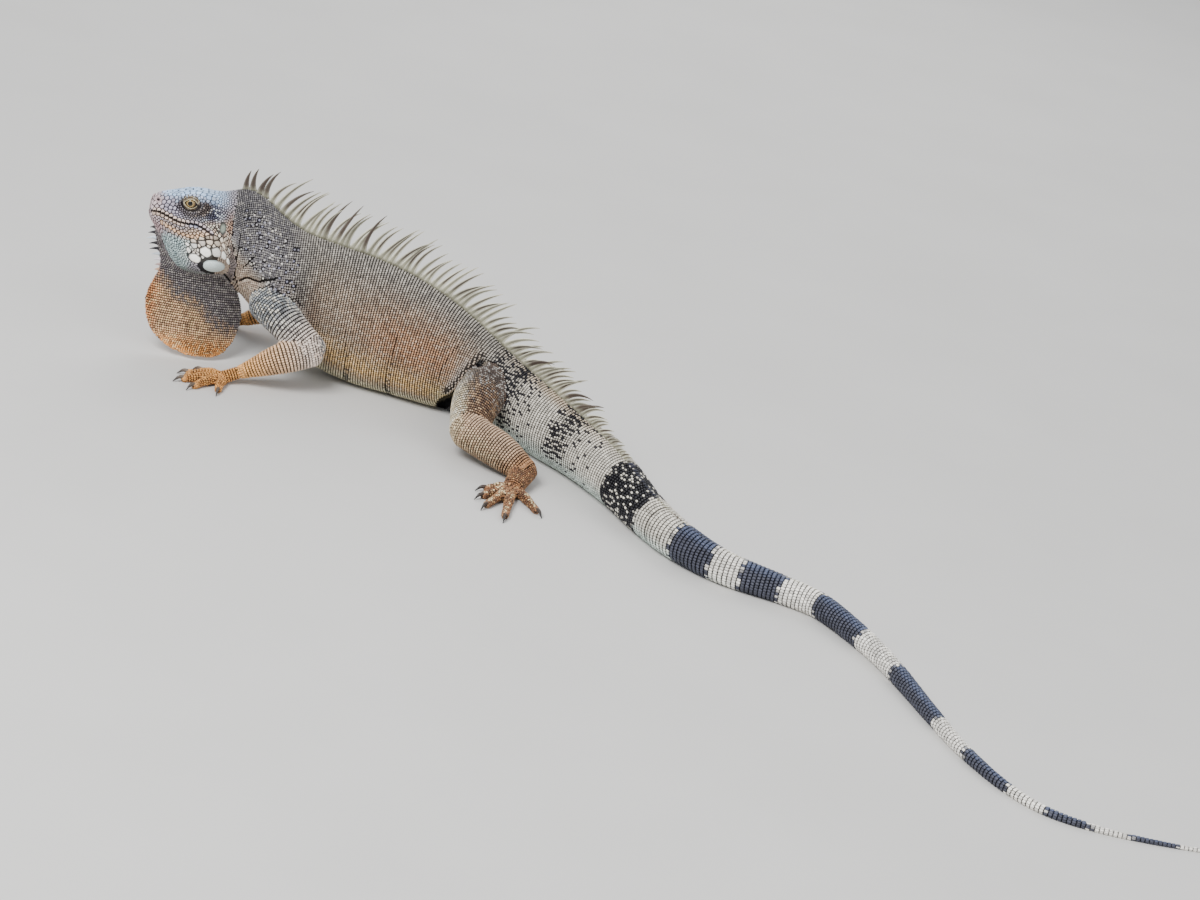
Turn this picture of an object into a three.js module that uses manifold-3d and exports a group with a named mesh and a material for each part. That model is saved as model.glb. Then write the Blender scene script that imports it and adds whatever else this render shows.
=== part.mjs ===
// A life-size adult male green iguana lying at rest with its head raised, as a still museum model.
// Millimetres, +Z up. The head and shoulders lie along X with the snout towards -X and the
// animal's left side towards -Y. The origin is on the flat that the belly rests on. The trunk
// bends gently to the left and the tail lies in two curves on the ground.
import * as THREE from "three";
import { mergeVertices } from "three/addons/utils/BufferGeometryUtils.js";
import Module from "manifold-3d";

const wasm = await Module();
wasm.setup();

// ---- Driving dimensions ----
const GAP = 0.5; // clearance between pieces that meet
const FACET = 0.2; // faces flatter than this are joined
const NOSE = -269; // tip of the snout
const HEAD_END = -186; // the head is cut from the neck here, along the body line
const NECK_END = -128;
const CHEST_END = -20;
const TRUNK_END = 112; // the vent
const TAIL_END = 1128;
const TAIL_PIECES = 7;
const HEAD_MIX = [-200, -176]; // the head's outline turns into the neck's between these
const HEAD_ROLL = 7; // degrees by which the head turns its left cheek up
const ROLL_MIX = [-205, -140]; // the roll dies away along the neck between these
const ROLL_HEIGHT = 139; // height of the axis that the head rolls about
const MOUTH = { front: 137, back: 130, corner: -206 }; // heights of the lips and the corner
const AROUND = 17; // sides of a body section: odd, so that a flat lies underneath
const TAIL_AROUND = [15, 13, 13, 11, 9, 9, 7]; // the same for each length of the tail
const TAIL_STEP = 22; // distance between its sections
const DOME = 0.75; // how far the rounded end of a limb reaches, in radii

// ---- Number helpers ----

// A smooth curve through knots: cubic between neighbours, with each slope taken from both sides.
function through(knots, values) {
  const slope = knots.map((_, i) => {
    const a = Math.max(i - 1, 0);
    const b = Math.min(i + 1, knots.length - 1);
    return (values[b] - values[a]) / (knots[b] - knots[a]);
  });
  return (x) => {
    const last = knots.length - 2;
    let i = knots.findIndex((k, j) => j > 0 && x <= k) - 1;
    if (i < 0) i = x <= knots[0] ? 0 : last;
    const h = knots[i + 1] - knots[i];
    const t = clamp((x - knots[i]) / h, 0, 1);
    const u = 1 - t;
    return (
      values[i] * u * u * (1 + 2 * t) +
      values[i + 1] * t * t * (3 - 2 * t) +
      h * (slope[i] * t * u * u - slope[i + 1] * t * t * u)
    );
  };
}

// One smooth curve for each key of a table whose rows are placed by "at".
function columns(table) {
  const keys = Object.keys(table[0]).filter((key) => key !== "at");
  const at = table.map((row) => row.at);
  return Object.fromEntries(keys.map((key) => [key, through(at, table.map((row) => row[key]))]));
}

const clamp = (x, low, high) => Math.min(Math.max(x, low), high);
const steps = (from, to, count) =>
  Array.from({ length: count + 1 }, (_, i) => from + ((to - from) * i) / count);
const ease = (x, [from, to]) => {
  const t = clamp((x - from) / (to - from), 0, 1);
  return t * t * (3 - 2 * t);
};
const power = (x, p) => Math.sign(x) * Math.abs(x) ** p;
const mix = (a, b, t) => a + (b - a) * t;
const radians = THREE.MathUtils.degToRad;
const UP = new THREE.Vector3(0, 0, 1);

// ---- Body line ----
// The middle of the body seen from above. Distances are measured along this line and are equal
// to x on the straight part, from the snout to the shoulders.
const LINE_START = -290;
const HEAD_Y = 10;
const LINE = [
  [LINE_START, 9],
  [-200, HEAD_Y],
  [-130, HEAD_Y],
  [-70, 7],
  [-15, -3],
  [30, -19],
  [68, -40],
  [98, -66],
  [122, -94],
  [147, -125],
  [176, -160],
  [210, -217],
  [232, -269],
  [256, -313],
  [296, -352],
  [352, -377],
  [382, -395],
  [411, -440],
  [432, -487],
  [459, -578],
  [476, -632],
  [504, -687],
  [532, -717],
  [573, -734],
  [662, -743],
  [736, -733],
];
const bodyLine = new THREE.CatmullRomCurve3(
  LINE.map(([x, y]) => new THREE.Vector3(x, y, 0)),
  false,
  "centripetal",
);
bodyLine.arcLengthDivisions = 2000;
const LINE_LENGTH = bodyLine.getLength();

// The point of the body line at a distance, and the unit vector to the animal's left there.
function lineAt(at) {
  const u = clamp((at - LINE_START) / LINE_LENGTH, 0, 1);
  const along = bodyLine.getTangentAt(u);
  return { point: bodyLine.getPointAt(u), left: new THREE.Vector3(along.y, -along.x, 0) };
}

// ---- Body sections ----
// top and bottom are heights above the ground, half is the half-width, wide says how far up the
// widest place is, roof is the fullness of the back (under 2 is a ridge), keel that of the belly.
const TRUNK = columns([
  { at: -190, top: 172, bottom: 90, half: 28, wide: 0.42, roof: 1.9, keel: 2 },
  { at: -177, top: 176, bottom: 78, half: 29, wide: 0.42, roof: 1.8, keel: 2 },
  { at: -160, top: 171, bottom: 61, half: 31, wide: 0.42, roof: 1.7, keel: 2 },
  { at: -140, top: 157, bottom: 43, half: 34, wide: 0.42, roof: 1.6, keel: 2.1 },
  { at: -115, top: 144, bottom: 23, half: 38, wide: 0.41, roof: 1.55, keel: 2.2 },
  { at: -80, top: 136.5, bottom: 7, half: 43, wide: 0.4, roof: 1.55, keel: 2.3 },
  { at: -40, top: 131, bottom: -1.2, half: 47, wide: 0.38, roof: 1.6, keel: 2.4 },
  { at: 0, top: 123, bottom: -1.6, half: 47, wide: 0.37, roof: 1.6, keel: 2.5 },
  { at: 40, top: 111, bottom: -1.4, half: 44, wide: 0.38, roof: 1.65, keel: 2.4 },
  { at: 75, top: 98, bottom: -1.1, half: 38, wide: 0.42, roof: 1.7, keel: 2.2 },
  { at: 105, top: 87, bottom: -1.1, half: 33, wide: 0.45, roof: 1.75, keel: 2.1 },
  { at: 135, top: 79, bottom: -1.2, half: 31, wide: 0.45, roof: 1.8, keel: 2 },
  { at: 180, top: 71, bottom: -1.1, half: 29.5, wide: 0.46, roof: 1.9, keel: 2 },
  { at: 226, top: 62, bottom: -1, half: 27.5, wide: 0.47, roof: 1.9, keel: 2 },
  { at: 299, top: 51, bottom: -1, half: 24, wide: 0.48, roof: 2, keel: 2 },
  { at: 355, top: 43, bottom: -0.9, half: 20.5, wide: 0.48, roof: 2, keel: 2 },
  { at: 403, top: 39, bottom: -0.9, half: 18.5, wide: 0.48, roof: 2, keel: 2 },
  { at: 461, top: 32.5, bottom: -0.8, half: 15.5, wide: 0.48, roof: 2, keel: 2 },
  { at: 524, top: 26.5, bottom: -0.8, half: 12.8, wide: 0.48, roof: 2, keel: 2 },
  { at: 614, top: 21.5, bottom: -0.8, half: 10.5, wide: 0.48, roof: 2, keel: 2 },
  { at: 718, top: 16.6, bottom: -0.6, half: 8.1, wide: 0.48, roof: 2, keel: 2 },
  { at: 812, top: 12.6, bottom: -0.4, half: 6.1, wide: 0.48, roof: 2, keel: 2 },
  { at: 900, top: 8.6, bottom: -0.4, half: 4.2, wide: 0.48, roof: 2, keel: 2 },
  { at: 1000, top: 5, bottom: -0.3, half: 2.4, wide: 0.48, roof: 2, keel: 2 },
  { at: 1128, top: 2, bottom: -0.2, half: 1, wide: 0.48, roof: 2, keel: 2 },
]);

// Along the head before it rolls: distance, height of the crown, then the [half-width, height]
// of the brow, cheek, lip and jowl, then the height of the chin.
const HEAD_ROWS = [
  [-269, 147, [1.5, 146.5], [2, 144], [2, 141], [1.5, 138], 136.5],
  [-267.5, 152, [4.5, 151], [6.5, 145.5], [6.8, 137.5], [4.5, 133], 130.5],
  [-262, 156.5, [7.5, 155.5], [10, 147.5], [10.5, 138], [8.5, 129], 123],
  [-253, 160, [10, 158.5], [12.5, 150], [14, 137], [12, 122], 109],
  [-243, 162.5, [13.5, 161], [14, 152], [17, 136], [16, 110], 94],
  [-232, 165.5, [16.5, 163], [16, 152.5], [20, 134.5], [21, 103], 85],
  [-220, 167.5, [16.5, 164], [19.5, 151], [23, 133], [26, 99], 82.5],
  [-208, 167.5, [16.5, 163.5], [22, 150], [26, 131], [29, 98.5], 83.5],
  [-196, 169.5, [16.5, 164], [24, 150], [27.5, 129], [30, 99.5], 86],
  [-182, 175, [17, 167], [25, 151], [28, 128], [28, 102], 88],
];
const HEAD_KEYS = ["brow", "cheek", "lip", "jowl"];
const HEAD = columns(
  HEAD_ROWS.map(([at, crown, ...rest]) => {
    const chin = rest.pop();
    const places = HEAD_KEYS.flatMap((key, i) => [
      [`${key}W`, rest[i][0]],
      [`${key}Z`, rest[i][1]],
    ]);
    return { at, crown, ...Object.fromEntries(places), chin };
  }),
);

// turn runs from 0 at the top through the left side to pi at the bottom and on to 2 pi.
function trunkPoint(at, turn) {
  const [top, bottom, half] = [TRUNK.top(at), TRUNK.bottom(at), TRUNK.half(at)];
  const widest = mix(bottom, top, TRUNK.wide(at));
  const up = Math.cos(turn);
  const fullness = 2 / (up > 0 ? TRUNK.roof(at) : TRUNK.keel(at));
  const reach = up > 0 ? top - widest : widest - bottom;
  return [half * power(Math.sin(turn), fullness), widest + reach * power(up, fullness)];
}

function headPoint(at, turn) {
  const left = turn <= Math.PI;
  const place = (5 * (left ? turn : 2 * Math.PI - turn)) / Math.PI;
  const sides = [0, ...HEAD_KEYS.map((key) => HEAD[`${key}W`](at)), 0];
  const inner = HEAD_KEYS.map((key) => HEAD[`${key}Z`](at));
  const heights = [HEAD.crown(at), ...inner, HEAD.chin(at)];
  const rim = [-1, 0, 1, 2, 3, 4, 5, 6];
  const side = through(rim, [-sides[1], ...sides, -sides[4]])(place);
  const height = through(rim, [heights[1], ...heights, heights[4]])(place);
  return [left ? side : -side, height];
}

// Rolls a place beside and above the body line with the head.
function rolled(at, [side, height]) {
  const turn = radians(HEAD_ROLL) * (1 - ease(at, ROLL_MIX));
  const up = height - ROLL_HEIGHT;
  return [
    side * Math.cos(turn) - up * Math.sin(turn),
    ROLL_HEIGHT + side * Math.sin(turn) + up * Math.cos(turn),
  ];
}

// The skin of the body: how far left of the body line, and how high.
function bodyPoint(at, turn) {
  const t = ease(at, HEAD_MIX);
  const h = t < 1 ? headPoint(at, turn) : [0, 0];
  const b = t > 0 ? trunkPoint(at, turn) : [0, 0];
  return rolled(at, [mix(h[0], b[0], t), mix(h[1], b[1], t)]);
}

// ---- Solids ----

function solidFrom(geometry) {
  geometry.deleteAttribute("normal");
  geometry.deleteAttribute("uv");
  const merged = mergeVertices(geometry, 1e-3);
  return new wasm.Manifold(
    new wasm.Mesh({
      numProp: 3,
      vertProperties: merged.attributes.position.array,
      triVerts: new Uint32Array(merged.index.array),
    }),
  );
}

// Joins rings of equally many points into a closed skin, with a fan over each end.
function skinned(rings) {
  const n = rings[0].length;
  const triangles = [];
  for (let r = 0; r + 1 < rings.length; r++)
    for (let i = 0; i < n; i++) {
      const [a, b] = [r * n + i, r * n + ((i + 1) % n)];
      triangles.push([a, b, b + n], [a, b + n, a + n]);
    }
  const base = (rings.length - 1) * n;
  for (let i = 1; i + 1 < n; i++) triangles.push([0, i + 1, i], [base, base + i, base + i + 1]);
  const build = (faces) => {
    const geometry = new THREE.BufferGeometry();
    geometry.setAttribute("position", new THREE.Float32BufferAttribute(rings.flat(2), 3));
    geometry.setIndex(faces.flat());
    return solidFrom(geometry);
  };
  const made = build(triangles);
  return made.volume() < 0 ? build(triangles.map(([a, b, c]) => [a, c, b])) : made;
}

// The body between the given distances, swollen by grow, never below the ground.
function bodySolid(distances, around, grow = 0) {
  const rings = distances.map((at) => {
    const { point, left } = lineAt(at);
    const [, high] = bodyPoint(at, 0);
    const [, low] = bodyPoint(at, Math.PI);
    const middle = (high + low) / 2;
    return steps(0, 2 * Math.PI, around)
      .slice(0, -1)
      .map((turn) => {
        const [side, height] = bodyPoint(at, turn);
        const reach = 1 + grow / Math.hypot(side, height - middle);
        const z = Math.max(middle + (height - middle) * reach, -grow);
        return [point.x + left.x * side * reach, point.y + left.y * side * reach, z];
      });
  });
  return skinned(rings);
}

// A rounded limb through joints [x, y, z], with a radius at each, never below the ground.
// flat squeezes it in height.
function limbSolid(joints, radii, { sides = 8, rings = 5, flat = 1, grow = 0 } = {}) {
  const curve = new THREE.CatmullRomCurve3(
    joints.map((p) => new THREE.Vector3(...p)),
    false,
    "centripetal",
  );
  const radiusAt = through(steps(0, 1, radii.length - 1), radii);
  const ring = (u, shift, shrink) => {
    const along = curve.getTangent(u).normalize();
    const centre = curve.getPoint(u).addScaledVector(along, shift);
    const side = new THREE.Vector3().crossVectors(along, UP).normalize();
    const rise = new THREE.Vector3().crossVectors(side, along);
    return steps(0, 2 * Math.PI, sides)
      .slice(0, -1)
      .map((turn) => {
        const radius = (radiusAt(u) + grow) * shrink;
        const p = centre
          .clone()
          .addScaledVector(side, radius * Math.cos(turn))
          .addScaledVector(rise, radius * flat * Math.sin(turn));
        return [p.x, p.y, Math.max(p.z, -grow)];
      });
  };
  const [first, last] = [radii[0] + grow, radii[radii.length - 1] + grow];
  return skinned([
    ring(0, -first * DOME, Math.sqrt(1 - DOME * DOME)),
    ...steps(0, 1, rings - 1).map((u) => ring(u, 0, 1)),
    ring(1, last * DOME, Math.sqrt(1 - DOME * DOME)),
  ]);
}

function ellipsoid(centre, radii, grow = 0) {
  const geometry = new THREE.SphereGeometry(1, 12, 6);
  geometry.scale(...radii.map((r) => r + grow));
  geometry.translate(...centre);
  return solidFrom(geometry);
}

// What is left of a solid outside the cutters.
const without = (solid, ...cutters) => cutters.reduce((left, c) => left.subtract(c), solid);

// The main piece of a solid, without loose slivers.
const mainPiece = (solid) =>
  solid.decompose().reduce((most, piece) => (piece.volume() > most.volume() ? piece : most));

// ---- Crest ----
// Blade-like spines stand along the back. length and base vary along the body line; lean is in
// degrees from upright towards the tail, half-way up a spine.
const CREST = columns([
  { at: -182, length: 17, base: 5, lean: -2 },
  { at: -172, length: 26, base: 6, lean: 13 },
  { at: -160, length: 33, base: 6.5, lean: 24 },
  { at: -146, length: 43, base: 7.5, lean: 37 },
  { at: -110, length: 47, base: 8, lean: 31 },
  { at: -42, length: 47, base: 8, lean: 29 },
  { at: 20, length: 45, base: 8, lean: 41 },
  { at: 60, length: 46, base: 8, lean: 50 },
  { at: 106, length: 50, base: 8, lean: 58 },
  { at: 165, length: 48, base: 8, lean: 59 },
  { at: 225, length: 35, base: 7, lean: 60 },
  { at: 265, length: 23, base: 6, lean: 60 },
  { at: 320, length: 9, base: 5.5, lean: 60 },
]);
const CREST_START = -182;
const CREST_STOP = 318;
const CREST_PITCH = 1.35; // distance from spine to spine, in base widths
const CREST_ROOT = 3; // how far a spine reaches into the back
const CREST_CURL = 0.35; // share of the lean that is added from root to tip

function spineSolid(at, grow = 0) {
  const { point, left } = lineAt(at);
  const along = new THREE.Vector3(-left.y, left.x, 0);
  const [length, base, lean] = [CREST.length(at), CREST.base(at), CREST.lean(at)];
  const [side, top] = bodyPoint(at, 0);
  const levels = [
    { up: -CREST_ROOT, wide: 1 },
    { up: length * 0.45, wide: 0.62 },
    { up: length + grow, wide: 0.14 },
  ];
  let [behind, height, last] = [0, top - CREST_ROOT, -CREST_ROOT];
  const rings = levels.map(({ up, wide }) => {
    const share = Math.max(up, 0) / length;
    const tilt = radians(lean * (1 - CREST_CURL / 2 + CREST_CURL * share));
    behind += (up - last) * Math.sin(tilt);
    height += (up - last) * Math.cos(tilt);
    last = up;
    const half = (base * wide) / 2 + grow;
    const thick = Math.max(0.32 * half, 0.4) + grow;
    return [
      [-half, 0],
      [half, -thick],
      [half, thick],
    ].map(([fore, out]) => {
      const p = point
        .clone()
        .addScaledVector(along, behind + fore * Math.cos(tilt))
        .addScaledVector(left, side + out);
      return [p.x, p.y, height - fore * Math.sin(tilt)];
    });
  });
  return skinned(rings);
}

const crestPlaces = [];
for (let at = CREST_START; at < CREST_STOP; at += CREST.base(at) * CREST_PITCH)
  crestPlaces.push(at);

// ---- Pieces ----
const paint = (color, roughness) =>
  new THREE.MeshStandardMaterial({ color, roughness, metalness: 0 });
const BODY_SKIN = paint(0x8d8780, 0.62);
const LIMB_SKIN = paint(0xa86a3a, 0.6);
const FAN_SKIN = paint(0xc07a4a, 0.62);
const TAIL_DARK = paint(0x24252f, 0.55);
const TAIL_PALE = paint(0xcfd0c4, 0.6);
const SHIELD_HORN = paint(0xdfe4e2, 0.4);
const EYE = paint(0x8a6a3c, 0.08);
const CLAW_HORN = paint(0x2b2522, 0.35);

const iguana = new THREE.Group();
iguana.name = "iguana";

function addNode(name, solid, material) {
  const { vertProperties, triVerts } = mainPiece(solid.simplify(FACET)).getMesh();
  const geometry = new THREE.BufferGeometry();
  geometry.setAttribute("position", new THREE.BufferAttribute(vertProperties, 3));
  geometry.setIndex(new THREE.BufferAttribute(triVerts, 1));
  geometry.computeVertexNormals();
  const mesh = new THREE.Mesh(geometry, material);
  mesh.name = name;
  iguana.add(mesh);
}

// A length of the body with its spines, held clear of the lengths before and behind it.
function withCrest(solid, from, to, ...neighbours) {
  const joined = crestPlaces
    .filter((at) => at >= from && at < to)
    .reduce((left, at) => left.add(spineSolid(at)), solid);
  const before = crestPlaces.filter((at) => at < from && at > from - 3 * CREST.base(at));
  return without(joined, ...neighbours, ...before.map((at) => spineSolid(at, GAP)));
}

// ---- Head ----
// Places are [along, out, up] before the head rolls.
const EYE_PLACE = [-230.7, 12, 154.5];
const EYE_RADIUS = 7.2;
const SHIELD_PLACE = [-199, 28.6, 98.3];
const SHIELD_RADII = [10.8, 4.2, 6.6];
const SIDES = [
  ["left", 1],
  ["right", -1],
];

// A place on the head, on either side, in the row's frame. side is 1 for the left.
function onHead([along, out, up], side) {
  const [beside, height] = rolled(along, [out * side, up]);
  return [along, HEAD_Y - beside, height];
}

function headSolid(grow = 0) {
  const rings = [NOSE, -267.5, -264, -258, -250, -241, -232, -222, -212, -201];
  return bodySolid([...rings, HEAD_END - GAP / 2 + grow], AROUND, grow);
}

// The space under the line of the lips, as far back as the corner of the mouth.
function belowLips(shift) {
  const [front, back] = [NOSE - 5, MOUTH.corner + shift];
  const [near, far, deep] = [-40, 60, 50];
  const wedge = (y) => [
    [front, y, deep],
    [back, y, deep],
    [back, y, MOUTH.back + shift],
    [front, y, MOUTH.front + shift],
  ];
  return skinned([wedge(near), wedge(far)]);
}

function addHead() {
  const socket = EYE_RADIUS + GAP;
  const sockets = SIDES.map(([, side]) => ellipsoid(onHead(EYE_PLACE, side), [socket, socket, socket]));
  const whole = without(headSolid(), ...sockets);
  addNode("head", without(whole, belowLips(GAP)), BODY_SKIN);
  addNode("lower_jaw", whole.intersect(belowLips(0)), BODY_SKIN);
  for (const [name, side] of SIDES) {
    addNode(`eye_${name}`, ellipsoid(onHead(EYE_PLACE, side), Array(3).fill(EYE_RADIUS)), EYE);
    const shield = ellipsoid(onHead(SHIELD_PLACE, side), SHIELD_RADII);
    addNode(`shield_${name}`, without(shield, headSolid(GAP), neckSolid(GAP)), SHIELD_HORN);
  }
}

// ---- Neck, chest, belly ----
const lengthOfBody = (from, to, count, grow) =>
  bodySolid(steps(from + GAP / 2 - grow, to - GAP / 2 + grow, count), AROUND, grow);
const neckSolid = (grow = 0) => lengthOfBody(HEAD_END, NECK_END, 4, grow);
const chestSolid = (grow = 0) => lengthOfBody(NECK_END, CHEST_END, 5, grow);
const bellySolid = (grow = 0) => lengthOfBody(CHEST_END, TRUNK_END, 6, grow);

function addTrunk() {
  const [neck, chest, belly] = [neckSolid(GAP), chestSolid(GAP), bellySolid(GAP)];
  const [head, tail] = [headSolid(GAP), tailSolid(0, GAP)];
  addNode("neck", withCrest(neckSolid(), HEAD_END, NECK_END, head, chest), BODY_SKIN);
  addNode("chest", withCrest(chestSolid(), NECK_END, CHEST_END, neck, belly), BODY_SKIN);
  addNode("belly", withCrest(bellySolid(), CHEST_END, TRUNK_END, chest, tail), BODY_SKIN);
}

// ---- Tail ----
// Each length is longer than the one before it.
const tailCuts = steps(0, 1, TAIL_PIECES).map((t) => mix(TRUNK_END, TAIL_END, mix(t, t * t, 0.45)));

function tailSolid(i, grow = 0) {
  const [from, to] = [tailCuts[i] + GAP / 2 - grow, tailCuts[i + 1] - GAP / 2 + grow];
  return bodySolid(steps(from, to, Math.round((to - from) / TAIL_STEP)), TAIL_AROUND[i], grow);
}

function addTail() {
  for (let i = 0; i < TAIL_PIECES; i++) {
    const neighbours = i ? [tailSolid(i - 1, GAP)] : [bellySolid(GAP)];
    if (i + 1 < TAIL_PIECES) neighbours.push(tailSolid(i + 1, GAP));
    const solid = withCrest(tailSolid(i), tailCuts[i], tailCuts[i + 1], ...neighbours);
    addNode(`tail_${i + 1}`, solid, i % 2 ? TAIL_DARK : TAIL_PALE);
  }
}

// ---- Throat fan ----
// A thin lens of skin under the jaw. front and rear are its edges along the body line at each
// height, before the head rolls.
const FAN = columns([
  { at: 0, front: -204, rear: -190, half: 1 },
  { at: 4, front: -224, rear: -178, half: 2 },
  { at: 10, front: -238, rear: -171, half: 3 },
  { at: 22, front: -252, rear: -164, half: 4.2 },
  { at: 41, front: -259.5, rear: -161, half: 5.5 },
  { at: 56, front: -260, rear: -164, half: 6 },
  { at: 70, front: -255.5, rear: -170, half: 6 },
  { at: 84, front: -251.5, rear: -180, half: 6 },
  { at: 98, front: -254.5, rear: -205, half: 6 },
  { at: 112, front: -260, rear: -225, half: 5 },
  { at: 126, front: -263.5, rear: -245, half: 4 },
]);
const FAN_FOOT = -0.6; // height of its lower edge
const FAN_TOP = 122;
const FAN_RIM = 0.8; // half-thickness at the edge
const FAN_SWING = { from: 60, out: 14 }; // below this height the fan swings out to the left
// Soft spikes run down the front edge, long and short by turns.
const FAN_SPIKES = { count: 8, top: 122, pitch: 5.6, long: 10, short: 7, droop: 1.2 };
const SPIKE_RADII = [2.2, 1.5, 0.5];

function fanPoint(up, share, side) {
  const along = mix(FAN.front(up), FAN.rear(up), share);
  const bulge = Math.sqrt(4 * share * (1 - share));
  const swing = FAN_SWING.out * Math.max(1 - up / FAN_SWING.from, 0) ** 2;
  return onHead([along, side * swing + FAN_RIM + FAN.half(up) * bulge, up], side);
}

function fanSolid() {
  const shares = [0, 0.1, 0.5, 0.9, 1];
  const heights = [0, 0.03, 0.1, 0.22, 0.4, 0.56, 0.74, 1];
  return skinned(
    heights.map((share) => {
      const up = mix(FAN_FOOT, FAN_TOP, share);
      return [
        ...shares.map((s) => fanPoint(up, s, 1)),
        ...shares.toReversed().map((s) => fanPoint(up, s, -1)),
      ];
    }),
  );
}

function fanSpike(i) {
  const up = FAN_SPIKES.top - i * FAN_SPIKES.pitch;
  const length = i % 2 ? FAN_SPIKES.short : FAN_SPIKES.long;
  const line = [-0.3, 0.4, 1].map((share) =>
    onHead([FAN.front(up) - length * share, 0, up - FAN_SPIKES.droop * Math.max(share, 0)], 1),
  );
  return limbSolid(line, SPIKE_RADII, { sides: 4, rings: 2 });
}

function addFan() {
  const spikes = Array.from({ length: FAN_SPIKES.count }, (_, i) => fanSpike(i));
  const spiked = spikes.reduce((joined, spike) => joined.add(spike), fanSolid());
  const body = [headSolid(GAP), neckSolid(GAP), chestSolid(GAP)];
  addNode("throat_fan", without(spiked, ...body), FAN_SKIN);
}

// ---- Limbs ----
// Joints are [aft, out, up] from the body line at the girdle: aft along the body towards the
// tail, out to the side. heading is the compass direction of the hand or foot: 0 is straight
// forward and 90 straight out. The legs are not placed alike.
const ARM = {
  girdle: -141,
  shoulder: [0, 27, 71],
  upper: [22, 50, 62],
  elbow: [50, 66, 44],
  fore: [22, 72, 33],
  wrist: [-13, 72, 13],
  palm: [-29, 76, 6.2],
  heading: 18,
};
const ARM_RADII = { shoulder: 19, upper: 18, elbow: 16, fore: 15.5, wrist: 7.5, palm: 8 };
const LEG_GIRDLE = 115;
const LEG = {
  left: {
    hip: [2, 20, 46],
    thigh: [20, 56, 43],
    knee: [42, 89, 28],
    shin: [78, 82, 22],
    ankle: [111, 77, 13],
    instep: [121, 102, 8.5],
    heading: 119,
  },
  right: {
    hip: [2, 20, 46],
    thigh: [-36, 42, 40],
    knee: [-74, 58, 28],
    shin: [-85, 84, 20],
    ankle: [-92, 108, 13],
    instep: [-106, 121, 8.5],
    heading: 6,
  },
};
const LEG_RADII = { hip: 25, thigh: 24, knee: 18, shin: 18, ankle: 12.5, instep: 11 };

// Digits from the inner to the outer. turn is the angle inward from the heading, bend the
// further turn beyond the knuckle.
const FINGERS = [
  { turn: 42, length: 21, bend: 6 },
  { turn: 19, length: 31, bend: 2 },
  { turn: -3, length: 38, bend: -2 },
  { turn: -25, length: 36, bend: -5 },
  { turn: -58, length: 25, bend: -8 },
];
const TOES = [
  { turn: 52, length: 24, bend: 8 },
  { turn: 32, length: 36, bend: 4 },
  { turn: 15, length: 50, bend: 2 },
  { turn: -4, length: 62, bend: -2 },
  { turn: -38, length: 42, bend: -4 },
];
const DIGIT_RADII = [5, 4.4, 3.5];
const DIGIT_HEIGHTS = [4.6, 5.6, 3.2]; // root, knuckle, tip
const DIGIT_ROOT = 5; // distance of a digit's root from the middle of the palm
const CLAW_LENGTH = 11;
const CLAW_RADII = [2.3, 1.7, 0.45];
const CLAW_HEIGHTS = [4.4, 4.2, 0.5];
const CLAW_SHARES = [-0.15, 0.45, 1]; // places of its joints beyond the toe's tip, in lengths

// Gives a function that turns [aft, out, up] at a girdle into a place in the row's frame.
function fromGirdle(girdle, side) {
  const { point, left } = lineAt(girdle);
  return ([aft, out, up]) => [
    point.x - left.y * aft + left.x * out * side,
    point.y + left.x * aft + left.y * out * side,
    up,
  ];
}

// The line of one digit over the ground, arched at the knuckle, and that of its claw.
function digitLines(place, root, heading, { turn, length, bend }) {
  const along = (from, degrees, far) => {
    const angle = radians(degrees);
    return [from[0] - far * Math.cos(angle), from[1] + far * Math.sin(angle)];
  };
  const start = along(root, heading - turn, DIGIT_ROOT);
  const knuckle = along(start, heading - turn, length / 2);
  const tip = along(knuckle, heading - turn - bend, length / 2);
  const horn = CLAW_SHARES.map((share) => along(tip, heading - turn - bend, CLAW_LENGTH * share));
  const raised = (line, heights) => line.map((p, i) => place([...p, heights[i]]));
  return { toe: raised([start, knuckle, tip], DIGIT_HEIGHTS), claw: raised(horn, CLAW_HEIGHTS) };
}

// A palm or foot with its digits, then a claw on each.
function addPaw(name, place, joints, radii, digits, heading, cutters) {
  const lines = digits.map((digit) => digitLines(place, joints[1], heading, digit));
  const toe = (line, grow) => limbSolid(line, DIGIT_RADII, { sides: 5, rings: 3, grow });
  const palm = limbSolid(joints.map(place), radii, { flat: 0.8, sides: 8, rings: 2 });
  const paw = lines.reduce((joined, line) => joined.add(toe(line.toe, 0)), palm);
  addNode(name, without(paw, ...cutters), LIMB_SKIN);
  lines.forEach((line, i) => {
    const horn = limbSolid(line.claw, CLAW_RADII, { sides: 4, rings: 3, flat: 1.15 });
    addNode(`${name}_claw_${i + 1}`, without(horn, toe(line.toe, 1.5 * GAP)), CLAW_HORN);
  });
}

// A two-part limb: an upper part that meets the body and a lower part that meets the upper.
function addLimb(names, place, joints, radii, body) {
  const part = (grow, ...keys) =>
    limbSolid(keys.map((key) => place(joints[key])), keys.map((key) => radii[key]), { grow });
  const [root, upper, bend, lower, end] = Object.keys(joints);
  addNode(names[0], without(part(0, root, upper, bend), ...body), LIMB_SKIN);
  const above = part(GAP, root, upper, bend);
  addNode(names[1], without(part(0, bend, lower, end), above, ...body), LIMB_SKIN);
  return [part(GAP, bend, lower, end), above, ...body];
}

function addArm(name, side) {
  const place = fromGirdle(ARM.girdle, side);
  const { girdle, palm, heading, ...joints } = ARM;
  const names = [`upper_arm_${name}`, `forearm_${name}`];
  const body = [neckSolid(GAP), chestSolid(GAP)];
  const cutters = addLimb(names, place, joints, ARM_RADII, body);
  const radii = [ARM_RADII.wrist, ARM_RADII.palm];
  addPaw(`hand_${name}`, place, [ARM.wrist, palm], radii, FINGERS, heading, cutters);
}

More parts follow.
